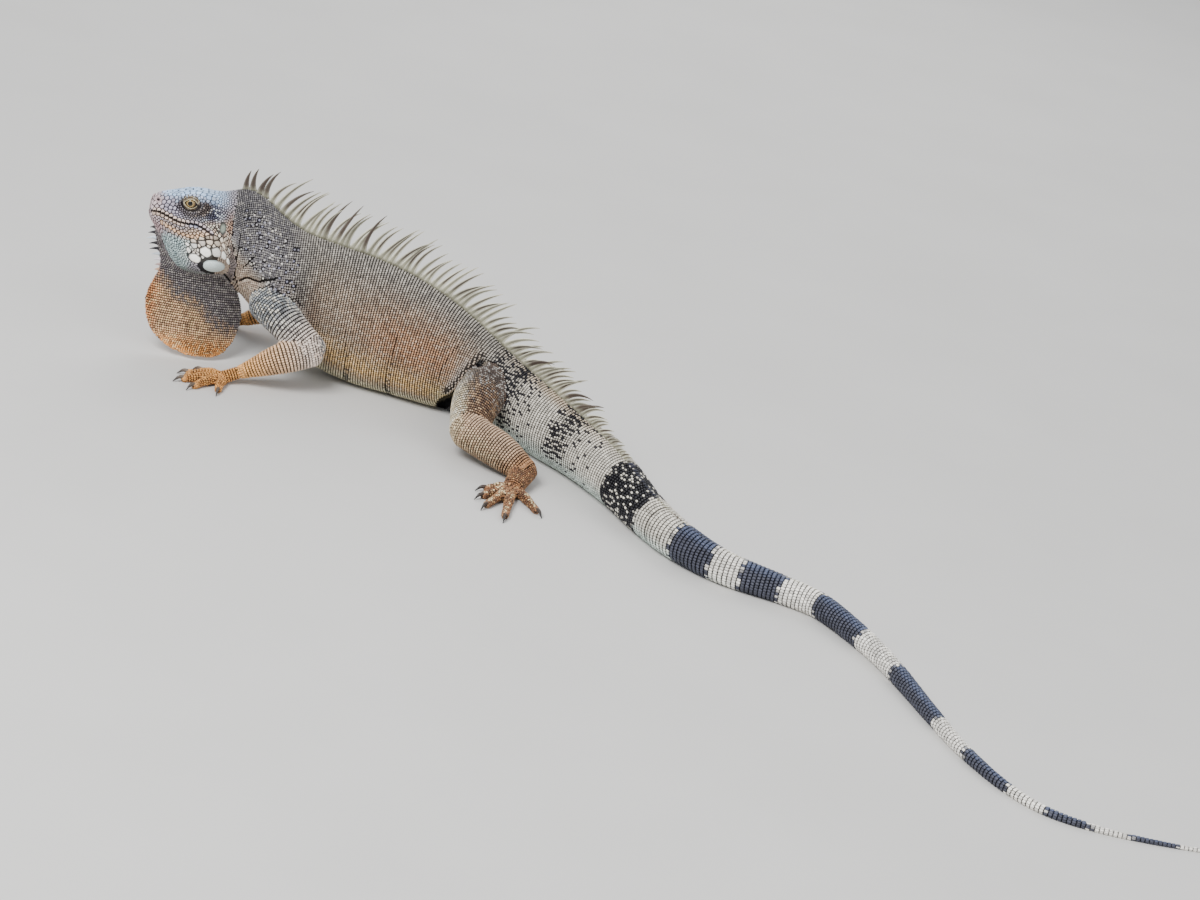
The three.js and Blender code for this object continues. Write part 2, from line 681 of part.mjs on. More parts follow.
function addLeg(name, side) {
  const place = fromGirdle(LEG_GIRDLE, side);
  const { instep, heading, ...joints } = LEG[name];
  const names = [`thigh_${name}`, `shin_${name}`];
  const body = [bellySolid(GAP), tailSolid(0, GAP)];
  const cutters = addLimb(names, place, joints, LEG_RADII, body);
  const radii = [LEG_RADII.ankle, LEG_RADII.instep];
  addPaw(`foot_${name}`, place, [joints.ankle, instep], radii, TOES, heading, cutters);
}

addHead();
addTrunk();
addTail();
addFan();
for (const [name, side] of SIDES) {
  addArm(name, side);
  addLeg(name, side);
}

export default iguana;
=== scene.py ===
"""A life-size adult male green iguana at rest with its head raised: one fleshy skin under a coat of
separate scales, head plates, lids, eyes, cheek shields, a crest of curved spines and horny claws.

Shapes are worked out in millimetres in the row's frame (+Z up, snout towards -X, the animal's
left towards -Y) and become metres when a mesh is made. Distances called "at" run along the body
line from the snout; "turn" runs from 0 on the back through the left side to pi under the belly.
"""

import bmesh
import bpy
import numpy as np
from mathutils import Matrix


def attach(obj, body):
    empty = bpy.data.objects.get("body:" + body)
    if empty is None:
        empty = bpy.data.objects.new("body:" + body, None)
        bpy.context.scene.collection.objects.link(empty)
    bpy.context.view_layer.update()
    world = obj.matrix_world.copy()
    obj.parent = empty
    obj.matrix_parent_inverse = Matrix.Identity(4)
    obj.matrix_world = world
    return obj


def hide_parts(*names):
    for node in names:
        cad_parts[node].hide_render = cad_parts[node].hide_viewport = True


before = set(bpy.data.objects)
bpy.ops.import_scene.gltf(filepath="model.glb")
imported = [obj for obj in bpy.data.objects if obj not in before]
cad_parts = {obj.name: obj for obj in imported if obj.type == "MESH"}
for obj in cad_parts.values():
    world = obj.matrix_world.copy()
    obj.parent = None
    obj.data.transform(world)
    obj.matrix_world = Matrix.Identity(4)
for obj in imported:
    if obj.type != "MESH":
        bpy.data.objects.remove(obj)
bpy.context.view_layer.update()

MM = 0.001
TAU = 2 * np.pi
SKIN_DEPTH = 0.8  # the skin lies this far inside the flesh, and the scales fill the rest
random = np.random.default_rng(11)


# ---------------------------------------------------------------- number helpers
def ease(x, low, high):
    """0 below low and 1 above high, with a cubic S between."""
    t = np.clip((np.asarray(x, float) - low) / (high - low), 0, 1)
    return t * t * (3 - 2 * t)


def mix(a, b, share):
    """A share of the way from a to b."""
    return a + (b - a) * share


def power(x, p):
    """The size of x to a power, with the sign of x."""
    return np.sign(x) * np.abs(x) ** p


def bump(x, middle, reach):
    """A bell: exp of minus the square of the distance from middle in units of reach."""
    return np.exp(-(((np.asarray(x, float) - middle) / reach) ** 2))


def window(x, low, high, soft):
    """1 from low to high and 0 outside, with an S of twice soft across both ends."""
    return ease(x, low - soft, low + soft) * (1 - ease(x, high - soft, high + soft))


def turns(count):
    """A whole turn in equal steps."""
    return np.arange(count) * TAU / count


def hermite(a, b, slope_a, slope_b, t):
    """The cubic from a at t = 0 to b at t = 1 with a slope at each end."""
    u = 1 - t
    return a * u * u * (1 + 2 * t) + b * t * t * (3 - 2 * t) + slope_a * t * u * u - slope_b * t * t * u


def through(knots, values):
    """A cubic through knots, whose slope at each knot joins the knots on both sides of it."""
    k, v = np.array(knots, float), np.array(values, float)
    slope = np.empty_like(v)
    slope[1:-1] = (v[2:] - v[:-2]) / (k[2:] - k[:-2])
    slope[0], slope[-1] = (v[1] - v[0]) / (k[1] - k[0]), (v[-1] - v[-2]) / (k[-1] - k[-2])

    def curve(x):
        """The cubic between the two knots beside x."""
        i = np.clip(np.searchsorted(k, x) - 1, 0, len(k) - 2)
        h = k[i + 1] - k[i]
        t = np.clip((x - k[i]) / h, 0, 1)
        return hermite(v[i], v[i + 1], h * slope[i], h * slope[i + 1], t)

    return curve


def columns(keys, rows):
    """One such curve for each named column of a table whose first column is the place."""
    table = np.array(rows, float).T
    return {key: through(table[0], column) for key, column in zip(keys.split(), table[1:])}


def threaded(knots, steps=60):
    """Many points on the centripetal Catmull-Rom curve through knots, which are carried on
    straight past both ends, and the share of the knots passed at each point."""
    p = np.array(knots, float)
    p = np.vstack([2 * p[0] - p[1], p, 2 * p[-1] - p[-2]])
    gap = np.sqrt(np.linalg.norm(np.diff(p, axis=0), axis=1))[:, None, None]
    a, b, c = gap[:-2], gap[1:-1], gap[2:]
    p0, p1, p2, p3 = (p[i : len(p) - 3 + i, None] for i in range(4))
    m1 = ((p1 - p0) / a - (p2 - p0) / (a + b) + (p2 - p1) / b) * b
    m2 = ((p2 - p1) / b - (p3 - p1) / (b + c) + (p3 - p2) / c) * b
    t = np.linspace(0, 1, steps, endpoint=False)[None, :, None]
    points = hermite(p1, p2, m1, m2, t).reshape(-1, p.shape[1])
    return np.vstack([points, p[-2]]), np.linspace(0, 1, len(points) + 1)


def unit(v):
    """A vector divided by its length."""
    return v / np.maximum(np.linalg.norm(v, axis=-1, keepdims=True), 1e-9)


def tint(code):
    """The linear colour of an sRGB code such as c8a070. A colour that is linear passes through."""
    if not isinstance(code, str):
        return code
    c = np.array([int(code[i : i + 2], 16) for i in (0, 2, 4)]) / 255
    return np.where(c < 0.04045, c / 12.92, ((c + 0.055) / 1.055) ** 2.4)


def washed(colour, *layers):
    """A colour covered by others in turn, each by its share, which is cut to 0 to 1."""
    colour = tint(colour)
    for other, share in layers:
        colour = mix(colour, tint(other), np.clip(share, 0, 1)[..., None])
    return colour


def between(table, rows, columns, a, b):
    """A table over evenly spaced rows and columns, read straight between its entries."""
    i = np.clip((a - rows[0]) / (rows[1] - rows[0]), 0, len(rows) - 1.001)
    j = np.clip((b - columns[0]) / (columns[1] - columns[0]), 0, len(columns) - 1.001)
    a, b = i.astype(int), j.astype(int)
    u, v = i - a, j - b
    if table.ndim > 2:
        u, v = u[..., None], v[..., None]
    low, high = (mix(table[k, b], table[k, b + 1], v) for k in (a, a + 1))
    return mix(low, high, u)


# ---------------------------------------------------------------- the body's measures
LINE = [
    (-290, 9), (-200, 10), (-130, 10), (-70, 7), (-15, -3), (30, -19), (68, -40), (98, -66),
    (122, -94), (147, -125), (176, -160), (210, -217), (232, -269), (256, -313), (296, -352),
    (352, -377), (382, -395), (411, -440), (432, -487), (459, -578), (476, -632), (504, -687),
    (532, -717), (573, -734), (662, -743), (736, -733),
]
NOSE, TAIL_END, HEAD_Y = -269, 1128, 10
TRUNK = columns("top bottom half wide roof keel", [
    (-190, 172, 90, 28, 0.42, 1.9, 2), (-177, 176, 78, 29, 0.42, 1.8, 2),
    (-160, 171, 61, 31, 0.42, 1.7, 2), (-140, 157, 43, 34, 0.42, 1.6, 2.1),
    (-115, 144, 23, 38, 0.41, 1.55, 2.2), (-80, 136.5, 7, 43, 0.4, 1.55, 2.3),
    (-40, 131, -1.2, 47, 0.38, 1.6, 2.4), (0, 123, -1.6, 47, 0.37, 1.6, 2.5),
    (40, 111, -1.4, 44, 0.38, 1.65, 2.4), (75, 98, -1.1, 38, 0.42, 1.7, 2.2),
    (105, 87, -1.1, 33, 0.45, 1.75, 2.1), (135, 79, -1.2, 31, 0.45, 1.8, 2),
    (180, 71, -1.1, 29.5, 0.46, 1.9, 2), (226, 62, -1, 27.5, 0.47, 1.9, 2),
    (299, 51, -1, 24, 0.48, 2, 2), (355, 43, -0.9, 20.5, 0.48, 2, 2),
    (403, 39, -0.9, 18.5, 0.48, 2, 2), (461, 32.5, -0.8, 15.5, 0.48, 2, 2),
    (524, 26.5, -0.8, 12.8, 0.48, 2, 2), (614, 21.5, -0.8, 10.5, 0.48, 2, 2),
    (718, 16.6, -0.6, 8.1, 0.48, 2, 2), (812, 12.6, -0.4, 6.1, 0.48, 2, 2),
    (900, 8.6, -0.4, 4.2, 0.48, 2, 2), (1000, 5, -0.3, 2.4, 0.48, 2, 2),
    (1128, 2, -0.2, 1, 0.48, 2, 2),
])
# Half-width (W) and height (Z) of the brow, cheek, lip and jowl, between crown and chin.
HEAD = columns("crown browW browZ cheekW cheekZ lipW lipZ jowlW jowlZ chin", [
    (-269, 147, 1.5, 146.5, 2, 144, 2, 141, 1.5, 138, 136.5),
    (-267.5, 152, 4.5, 151, 6.5, 145.5, 6.8, 137.5, 4.5, 133, 130.5),
    (-262, 156.5, 7.5, 155.5, 10, 147.5, 10.5, 138, 8.5, 129, 123),
    (-253, 160, 10, 158.5, 12.5, 150, 14, 137, 12, 122, 109),
    (-243, 162.5, 13.5, 161, 14, 152, 17, 136, 16, 110, 94),
    (-232, 165.5, 16.5, 163, 16, 152.5, 20, 134.5, 21, 103, 85),
    (-220, 167.5, 16.5, 164, 19.5, 151, 23, 133, 26, 99, 82.5),
    (-208, 167.5, 16.5, 163.5, 22, 150, 26, 131, 29, 98.5, 83.5),
    (-196, 169.5, 16.5, 164, 24, 150, 27.5, 129, 30, 99.5, 86),
    (-182, 175, 17, 167, 25, 151, 28, 128, 28, 102, 88),
])
HEAD_MIX, ROLL_MIX = (-200, -176), (-205, -140)
HEAD_ROLL, ROLL_HEIGHT = np.radians(7), 139
FAN = columns("front rear half", [
    (0, -204, -190, 1), (4, -224, -178, 2), (10, -238, -171, 3), (22, -252, -164, 4.2),
    (41, -259.5, -161, 5.5), (56, -260, -164, 6), (70, -255.5, -170, 6), (84, -251.5, -180, 6),
    (98, -254.5, -205, 6), (112, -260, -225, 5), (126, -263.5, -245, 4),
])
FAN_RIM, FAN_SWING_FROM, FAN_SWING_OUT = 0.8, 60, 14
CREST = columns("length lean", [
    (-182, 17, -2), (-172, 26, 13), (-160, 33, 24), (-146, 43, 37), (-110, 47, 31), (-42, 47, 29),
    (20, 45, 41), (60, 46, 50), (106, 50, 58), (165, 48, 59), (225, 35, 60), (265, 23, 60),
    (320, 9, 60),
])
# Places on the left side of the head: at, height before the head rolls, and out for the eye.
EYE_AT, EYE_HEIGHT, EYE_OUT, EYE_RADIUS = -230.7, 154.5, 12, 7.2
NOSTRIL, EAR_DRUM, SHIELD = (-262.6, 151.4), (-196.5, 137.6), (-199, 98.3)
ARM_GIRDLE, LEG_GIRDLE = -141, 115
ARM = {
    "shoulder": (0, 27, 71), "upper": (22, 50, 62), "elbow": (50, 66, 44),
    "fore": (22, 72, 33), "wrist": (-13, 72, 13), "palm": (-29, 76, 6.2),
}
ARM_RADII = {"shoulder": 19, "upper": 18, "elbow": 16, "fore": 15.5, "wrist": 7.5, "palm": 8}
LEGS = {
    "left": {
        "hip": (2, 20, 46), "thigh": (20, 56, 43), "knee": (42, 89, 28),
        "shin": (78, 82, 22), "ankle": (111, 77, 13), "instep": (121, 102, 8.5),
    },
    "right": {
        "hip": (2, 20, 46), "thigh": (-36, 42, 40), "knee": (-74, 58, 28),
        "shin": (-85, 84, 20), "ankle": (-92, 108, 13), "instep": (-106, 121, 8.5),
    },
}
LEG_RADII = {"hip": 25, "thigh": 24, "knee": 18, "shin": 18, "ankle": 12.5, "instep": 11}
HEADINGS = {"arm": {"left": 18, "right": 18}, "leg": {"left": 119, "right": 6}}
FINGERS = [(42, 21, 6), (19, 31, 2), (-3, 38, -2), (-25, 36, -5), (-58, 25, -8)]
TOES = [(52, 24, 8), (32, 36, 4), (15, 50, 2), (-4, 62, -2), (-38, 42, -4)]
DIGIT_RADII, DIGIT_HEIGHTS, DIGIT_ROOT, KNUCKLE = (5, 4.4, 3.5), (4.6, 5.6, 3.2), 5, 0.05
CLAW_LENGTH, CLAW_RADII = 11, (2.3, 1.7, 0.45)
CLAW_HEIGHTS, CLAW_SHARES = (4.4, 4.2, 0.5), (-0.15, 0.45, 1)
DOME = 0.78  # reach of a limb's rounded end, in radii
SIDES = {"left": 1, "right": -1}

line_points, _ = threaded(LINE, 120)
line_step = np.linalg.norm(np.diff(line_points, axis=0), axis=1)
line_reach = LINE[0][0] + np.concatenate([[0], np.cumsum(line_step)])


# ---------------------------------------------------------------- surfaces of the body
def line_at(at):
    """The body line's point at a distance along it, and the unit vector to the animal's left."""
    spot, ahead, behind = (
        np.stack([np.interp(at + far, line_reach, line_points[:, i]) for i in (0, 1)], -1)
        for far in (0, 0.5, -0.5)
    )
    along = unit(ahead - behind)
    return spot[..., 0], spot[..., 1], along[..., 1], -along[..., 0]


def trunk_section(at, turn):
    """Two half superellipses that share their widest place: roof above it and keel below."""
    top, bottom, half = TRUNK["top"](at), TRUNK["bottom"](at), TRUNK["half"](at)
    widest = mix(bottom, top, TRUNK["wide"](at))
    up = np.cos(turn)
    fullness = 2 / np.where(up > 0, TRUNK["roof"](at), TRUNK["keel"](at))
    reach = np.where(up > 0, top - widest, widest - bottom)
    return half * power(np.sin(turn), fullness), widest + reach * power(up, fullness)


def head_section(at, turn):
    """A cubic through crown, brow, cheek, lip, jowl and chin, evenly spaced in turn."""
    left = turn <= np.pi
    place = 5 * np.where(left, turn, TAU - turn) / np.pi
    names = ("brow", "cheek", "lip", "jowl")
    zero = np.zeros_like(place)
    widths = [zero, *(HEAD[n + "W"](at) for n in names), zero]
    heights = [HEAD["crown"](at), *(HEAD[n + "Z"](at) for n in names), HEAD["chin"](at)]
    i = np.clip(np.ceil(place).astype(int) - 1, 0, 4)
    t = place - i

    def cubic(values, turned):
        """The cubic through values, which go on past crown and chin mirrored, by turned."""
        v = np.stack([turned * values[1], *values, turned * values[4]], -1)
        p0, p1, p2, p3 = (np.take_along_axis(v, (i + k)[..., None], -1)[..., 0] for k in range(4))
        return hermite(p1, p2, (p2 - p0) / 2, (p3 - p1) / 2, t)

    return np.where(left, 1, -1) * cubic(widths, -1), cubic(heights, 1)


def rolled(at, side, height):
    """A place beside and above the body line, turned with the head about a line along it."""
    turn = HEAD_ROLL * (1 - ease(at, *ROLL_MIX))
    up = height - ROLL_HEIGHT
    beside = side * np.cos(turn) - up * np.sin(turn)
    return beside, ROLL_HEIGHT + side * np.sin(turn) + up * np.cos(turn)


def level_section(at, turn):
    """The head's section turning into the trunk's across the back of the head."""
    share = ease(at, *HEAD_MIX)
    head, trunk = head_section(at, turn), trunk_section(at, turn)
    return mix(head[0], trunk[0], share), mix(head[1], trunk[1], share)


def body_section(at, turn):
    """The body's section at a place, as out to the left and height, once the head has rolled."""
    return rolled(at, *level_section(at, turn))


def body_surface(at, turn, out=0.0):
    """The body's sections carried along the body line, pushed out mm away from their middles
    and flattened where they would pass the ground."""
    at, turn = np.broadcast_arrays(np.asarray(at, float), np.asarray(turn, float) % TAU)
    side, height = body_section(at, turn)
    middle = (body_section(at, turn * 0)[1] + body_section(at, turn * 0 + np.pi)[1]) / 2
    reach = 1 + out / np.maximum(np.hypot(side, height - middle), 0.5)
    x, y, left_x, left_y = line_at(at)
    z = np.maximum(middle + (height - middle) * reach, np.maximum(-np.asarray(out), 0))
    return np.stack([x + left_x * side * reach, y + left_y * side * reach, z], -1)


def on_head(along, out, up, side=1):
    """A place on the head before it rolls, in the row's frame. side is 1 for the left."""
    beside, height = rolled(along, out * side, up)
    return np.stack(np.broadcast_arrays(along, HEAD_Y - beside, height), -1)


def fan_surface(up, around, out=0.0):
    """A lens that hangs under the jaw: from its front edge to its rear edge by the cosine of
    around, as thick as its sine, and swung to the left by the square of the depth."""
    up, around = np.broadcast_arrays(np.asarray(up, float), np.asarray(around, float))
    middle = (FAN["front"](up) + FAN["rear"](up)) / 2
    half = (FAN["rear"](up) - FAN["front"](up)) / 2 + out
    thick = FAN_RIM + FAN["half"](up) + out
    swing = FAN_SWING_OUT * np.maximum(1 - up / FAN_SWING_FROM, 0) ** 2
    return on_head(middle - half * np.cos(around), swing + thick * np.sin(around), up)


def limb_surface(joints, radii, flat=1.0, knuckle=0.0):
    """A tube round the curve through joints. Its place runs from -1 to 0 over the rounded start,
    0 to 1 along the curve and 1 to 2 over the rounded end; flat squeezes its height, and knuckle
    swells it at each joint."""
    points, share = threaded(joints)
    radius = through(np.linspace(0, 1, len(radii)), radii)

    def surface(place, turn, out=0.0):
        """A ring's point round the curve, out mm further, whose ring shrinks as a cosine over the
        rounded ends."""
        place, turn = np.broadcast_arrays(np.asarray(place, float), np.asarray(turn, float))
        u = np.clip(place, 0, 1)
        centre, ahead, behind = (
            np.stack([np.interp(np.clip(u + d, 0, 1), share, points[:, i]) for i in range(3)], -1)
            for d in (0, 0.01, -0.01)
        )
        along = unit(ahead - behind)
        over = (np.clip(place, -1, 2) - u) * np.pi / 2
        swell = 1 + knuckle * np.cos(TAU * u * (len(joints) - 1))
        size = radius(u) * swell + out
        side = unit(np.cross(along, (0, 0, 1)))
        rise = np.cross(side, along)
        ring = side * np.cos(turn)[..., None] + rise * (flat * np.sin(turn))[..., None]
        point = centre + along * (DOME * size * np.sin(over))[..., None]
        point = point + ring * (size * np.cos(over))[..., None]
        point[..., 2] = np.maximum(point[..., 2], np.maximum(-np.asarray(out), 0))
        return point

    return surface


def from_girdle(girdle, side, place):
    """A place (aft, out, up) at a girdle, in the row's frame."""
    x, y, left_x, left_y = (float(v) for v in line_at(float(girdle)))
    aft, out, up = place
    return x - left_y * aft + left_x * out * side, y + left_x * aft + left_y * out * side, up


def digit_lines(root, heading, digit):
    """A digit's joints over the ground, bent at the knuckle, and those of its claw."""
    turn, length, bend = digit

    def along(start, degrees, far):
        """The place so far from start in a direction."""
        angle = np.radians(degrees)
        return start[0] - far * np.cos(angle), start[1] + far * np.sin(angle)

    start = along(root, heading - turn, DIGIT_ROOT)
    knuckle = along(start, heading - turn, length / 2)
    tip = along(knuckle, heading - turn - bend, length / 2)
    horn = [along(tip, heading - turn - bend, CLAW_LENGTH * s) for s in CLAW_SHARES]
    toe = [(*p, z) for p, z in zip((start, knuckle, tip), DIGIT_HEIGHTS)]
    return toe, [(*p, z) for p, z in zip(horn, CLAW_HEIGHTS)]


# ---------------------------------------------------------------- meshes
def linked(name, data):
    """An object that holds data, in the scene."""
    piece = bpy.data.objects.new(name, data)
    bpy.context.scene.collection.objects.link(piece)
    return piece


def make_object(name, points, corners, sizes):
    """An object from points in mm and faces, given as one list of corners cut by sizes."""
    mesh = bpy.data.meshes.new(name)
    points = np.asarray(points, float).reshape(-1, 3)
    corners, sizes = np.asarray(corners, int).ravel(), np.asarray(sizes, int).ravel()
    mesh.vertices.add(len(points))
    mesh.vertices.foreach_set("co", (points * MM).ravel())
    mesh.loops.add(len(corners))
    mesh.loops.foreach_set("vertex_index", corners)
    mesh.polygons.add(len(sizes))
    mesh.polygons.foreach_set("loop_start", np.concatenate([[0], np.cumsum(sizes)[:-1]]))
    mesh.update(calc_edges=True)
    mesh.shade_smooth()
    return linked(name, mesh)


def ring_quads(rows, sides):
    """The quads between closed rings of points, numbered on from ring to ring."""
    ring, first = np.arange(sides), np.arange(rows - 1)[:, None] * sides
    a, b = (first + ring).ravel(), (first + (ring + 1) % sides).ravel()
    return np.stack([a, b, b + sides, a + sides], -1)


def peaked_faces(rows, sides, flip=False):
    """Quads between closed rings, triangles from the last ring to a peak and one face below."""
    ring, last = np.arange(sides), (rows - 1) * sides
    cap = np.stack([ring + last, (ring + 1) % sides + last, np.full(sides, rows * sides)], -1)
    faces = [ring_quads(rows, sides), cap, ring[None, ::-1]]
    corners = np.concatenate([f[:, :: -1 if flip else 1].ravel() for f in faces])
    return corners, np.concatenate([np.full(len(f), f.shape[1]) for f in faces])


def tube_faces(rows, sides, start=0):
    """Quads between closed rings of points, and one many-sided face over each end."""
    quads, ring = ring_quads(rows, sides), np.arange(sides)
    corners = np.concatenate([quads.ravel(), ring[::-1], ring + (rows - 1) * sides])
    return corners + start, np.concatenate([np.full(len(quads), 4), [sides, sides]])


def shells(grids):
    """Closed tubes from grids of points (rows, sides, 3), each turned so it faces outwards. Values
    in further columns ride along."""
    points, corners, sizes, start = [], [], [], 0
    for grid in grids:
        rows, sides = grid.shape[:2]
        middle = grid[..., :3].mean(1)
        axis = np.gradient(middle, axis=0)
        spoke = grid[..., :3] - middle[:, None]
        winding = (np.cross(spoke, np.roll(spoke, -1, 1)) * axis[:, None]).sum()
        c, s = tube_faces(rows, sides, start)
        grid = grid if winding > 0 else grid[:, ::-1]
        points.append(grid.reshape(rows * sides, -1))
        corners.append(c)
        sizes.append(s)
        start += rows * sides
    return np.concatenate(points), np.concatenate(corners), np.concatenate(sizes)


def points_of(mesh):
    """A mesh's points in mm."""
    co = np.empty(len(mesh.vertices) * 3, np.float32)
    mesh.vertices.foreach_get("co", co)
    return co.reshape(-1, 3).astype(float) / MM


def set_points(mesh, points):
    """Moves a mesh's points to places in mm."""
    mesh.vertices.foreach_set("co", (points * MM).astype(np.float32).ravel())
    mesh.update()


def settle_modifiers(piece):
    """Puts the result of an object's modifiers into its mesh."""
    seen = piece.evaluated_get(bpy.context.evaluated_depsgraph_get())
    mesh = bpy.data.meshes.new_from_object(seen)
    piece.modifiers.clear()
    piece.data = mesh
    return piece


def put(mesh, name, values, kind="FLOAT"):
    """A value, or a colour, on each point of a mesh."""
    layer = mesh.attributes.new(name, kind, "POINT")
    values = np.asarray(values, np.float32)
    if kind == "FLOAT_COLOR":
        values = np.concatenate([values, np.ones((len(values), 1), np.float32)], 1)
    layer.data.foreach_set("color" if kind == "FLOAT_COLOR" else "value", values.ravel())


def hoop(name, grid):
    """An object from closed rings of points, the last of which joins the first."""
    rows, sides = grid.shape[:2]
    quads = ring_quads(rows + 1, sides) % (rows * sides)
    piece = make_object(name, grid, quads, np.full(len(quads), 4))
    work = bmesh.new()
    work.from_mesh(piece.data)
    bmesh.ops.recalc_face_normals(work, faces=work.faces)
    work.to_mesh(piece.data)
    work.free()
    return piece


def bare_points(name, points):
    """An object of points in mm, without faces."""
    mesh = bpy.data.meshes.new(name)
    mesh.vertices.add(points.size // 3)
    set_points(mesh, points.reshape(-1, 3))
    return linked(name, mesh)


def dressed(piece, marking, rim=0.0, dice=0.5):
    """Gives a piece's points their colour, their share of the dark gap round a scale, which is partly
    the dark skin between scales and partly painted shade, and their scale's random number."""
    count = len(piece.data.vertices)
    put(piece.data, "marking", np.broadcast_to(marking, (count, 3)), "FLOAT_COLOR")
    put(piece.data, "rim", np.broadcast_to(rim, count))
    put(piece.data, "dice", np.broadcast_to(dice, count))
    return piece


def unwrapped(piece, corners, spot):
    """The unwrap named OFBake: a place on it for each point."""
    unwrap = piece.data.uv_layers.new(name="OFBake")
    unwrap.data.foreach_set("uv", spot[corners].astype(np.float32).ravel())


# ---------------------------------------------------------------- limbs as surfaces
limbs, digits = {}, {}
for side_name, side in SIDES.items():
    for kind, girdle, joints, radii, rays in (
        ("arm", ARM_GIRDLE, ARM, ARM_RADII, FINGERS),
        ("leg", LEG_GIRDLE, LEGS[side_name], LEG_RADII, TOES),
    ):
        spots = [from_girdle(girdle, side, joint) for joint in joints.values()]
        sizes = list(radii.values())
        for part, low, high, flat in (("upper", 0, 3, 1.0), ("lower", 2, 5, 1.0), ("paw", 4, 6, 0.8)):
            limbs[kind, side_name, part] = limb_surface(spots[low:high], sizes[low:high], flat)
        palm, heading = list(joints.values())[5], HEADINGS[kind][side_name]
        digits[kind, side_name] = [
            [[from_girdle(girdle, side, p) for p in line] for line in digit_lines(palm, heading, ray)]
            for ray in rays
        ]


# ---------------------------------------------------------------- the skin
SKIN_STEP = 1.5  # spacing of the skin's first mesh
SKIN_SHARE = 0.58  # share of its faces that stay
TAIL_SEAM = (386, 398)  # past here the tail is too thin for that spacing and keeps its own rings
LOFT_SIDES = 72


def skin_grids():
    """The closed tubes that the flesh is made of, all SKIN_DEPTH inside the solids."""
    low, high = TAIL_SEAM
    at = np.concatenate([NOSE + 0.8 + 12 * np.linspace(0, 1, 18) ** 2, np.arange(-255, high, 1.8)])
    depth = -SKIN_DEPTH - 2.5 * ease(at, low, high)
    grids = [body_surface(at[:, None], turns(LOFT_SIDES), depth[:, None])]
    up = np.linspace(0.9, 120, 60)
    grids.append(fan_surface(up[:, None], turns(LOFT_SIDES), -SKIN_DEPTH))
    ends = np.linspace(0, 0.98, 9)
    place = np.concatenate([-ends[::-1], np.linspace(0.03, 0.97, 34), 1 + ends])[:, None]
    grids += [surface(place, turns(40), -SKIN_DEPTH) for surface in limbs.values()]
    for rays in digits.values():
        grids += [limb_surface(toe, DIGIT_RADII, 1.0, KNUCKLE)(place, turns(20), -0.5) for toe, _ in rays]
    return grids


def softened(mesh, rounds, share, fill):
    """Moves each point a share of the way to the mean of its neighbours, round after round. With
    fill, only points in a hollow move, so creases fill with flesh and nothing shrinks."""
    count = len(mesh.vertices)
    ends = np.empty(len(mesh.edges) * 2, np.int32)
    mesh.edges.foreach_get("vertices", ends)
    a, b = ends.reshape(-1, 2).T
    degree = np.maximum(np.bincount(a, minlength=count) + np.bincount(b, minlength=count), 1)
    normal = np.empty(count * 3, np.float32)
    mesh.vertex_normals.foreach_get("vector", normal)
    normal = normal.reshape(-1, 3)
    points = points_of(mesh)
    for _ in range(rounds):
        total = [
            np.bincount(a, points[b, i], count) + np.bincount(b, points[a, i], count) for i in range(3)
        ]
        move = np.stack(total, -1) / degree[:, None] - points
        if fill:
            move *= ((move * normal).sum(-1) > 0)[:, None]
        points += share * move
    set_points(mesh, points)


def tail_skin():
    """The thin end of the tail, carried on from inside the fleshy skin to the tip."""
    low, high = TAIL_SEAM
    at = np.concatenate([np.linspace(low, high, 5), np.arange(high + 4, TAIL_END - 3, 4.0)])
    at = np.append(at, TAIL_END - 1.5)[:, None]
    inside = 2.5 * (1 - ease(at, low, high - 6))
    depth = np.minimum(SKIN_DEPTH, 0.3 * TRUNK["half"](at)) + inside
    return make_object("tail_skin", *shells([body_surface(at, turns(24), -depth)]))


def joined(pieces, name):
    """One object holding all the pieces' meshes."""
    with bpy.context.temp_override(
        active_object=pieces[0], selected_editable_objects=pieces, selected_objects=pieces
    ):
        bpy.ops.object.join()
    pieces[0].name = pieces[0].data.name = name
    return pieces[0]


def turn_at(at, height):
    """The turn at which the left side of the head has a height: between the last place of its
    section that is higher and the next one."""
    fine = np.linspace(0, np.pi, 300)
    table = level_section(at[:, None] + 0 * fine, fine + 0 * at[:, None])[1]
    low = np.clip((table > height[:, None]).sum(1), 1, 299)
    above, below = (np.take_along_axis(table, i[:, None], 1)[:, 0] for i in (low - 1, low))
    return fine[low - 1] + fine[1] * np.clip((above - height) / (above - below + 1e-9), 0, 1)


def on_side(places):
    """Places of the head, at and height, as at and turn / pi."""
    at, height = np.array(places, float).T
    return list(zip(at, turn_at(at, height) / np.pi))


MOUTH = [
    (-267, 139), (-260, 140), (-250, 137.5), (-241, 135), (-231, 134.8), (-223, 135.6),
    (-213, 132.5), (-205, 128.5),
]
EAR = [(-197, 131.6), (-196.5, 137.6), (-196, 143.6)]
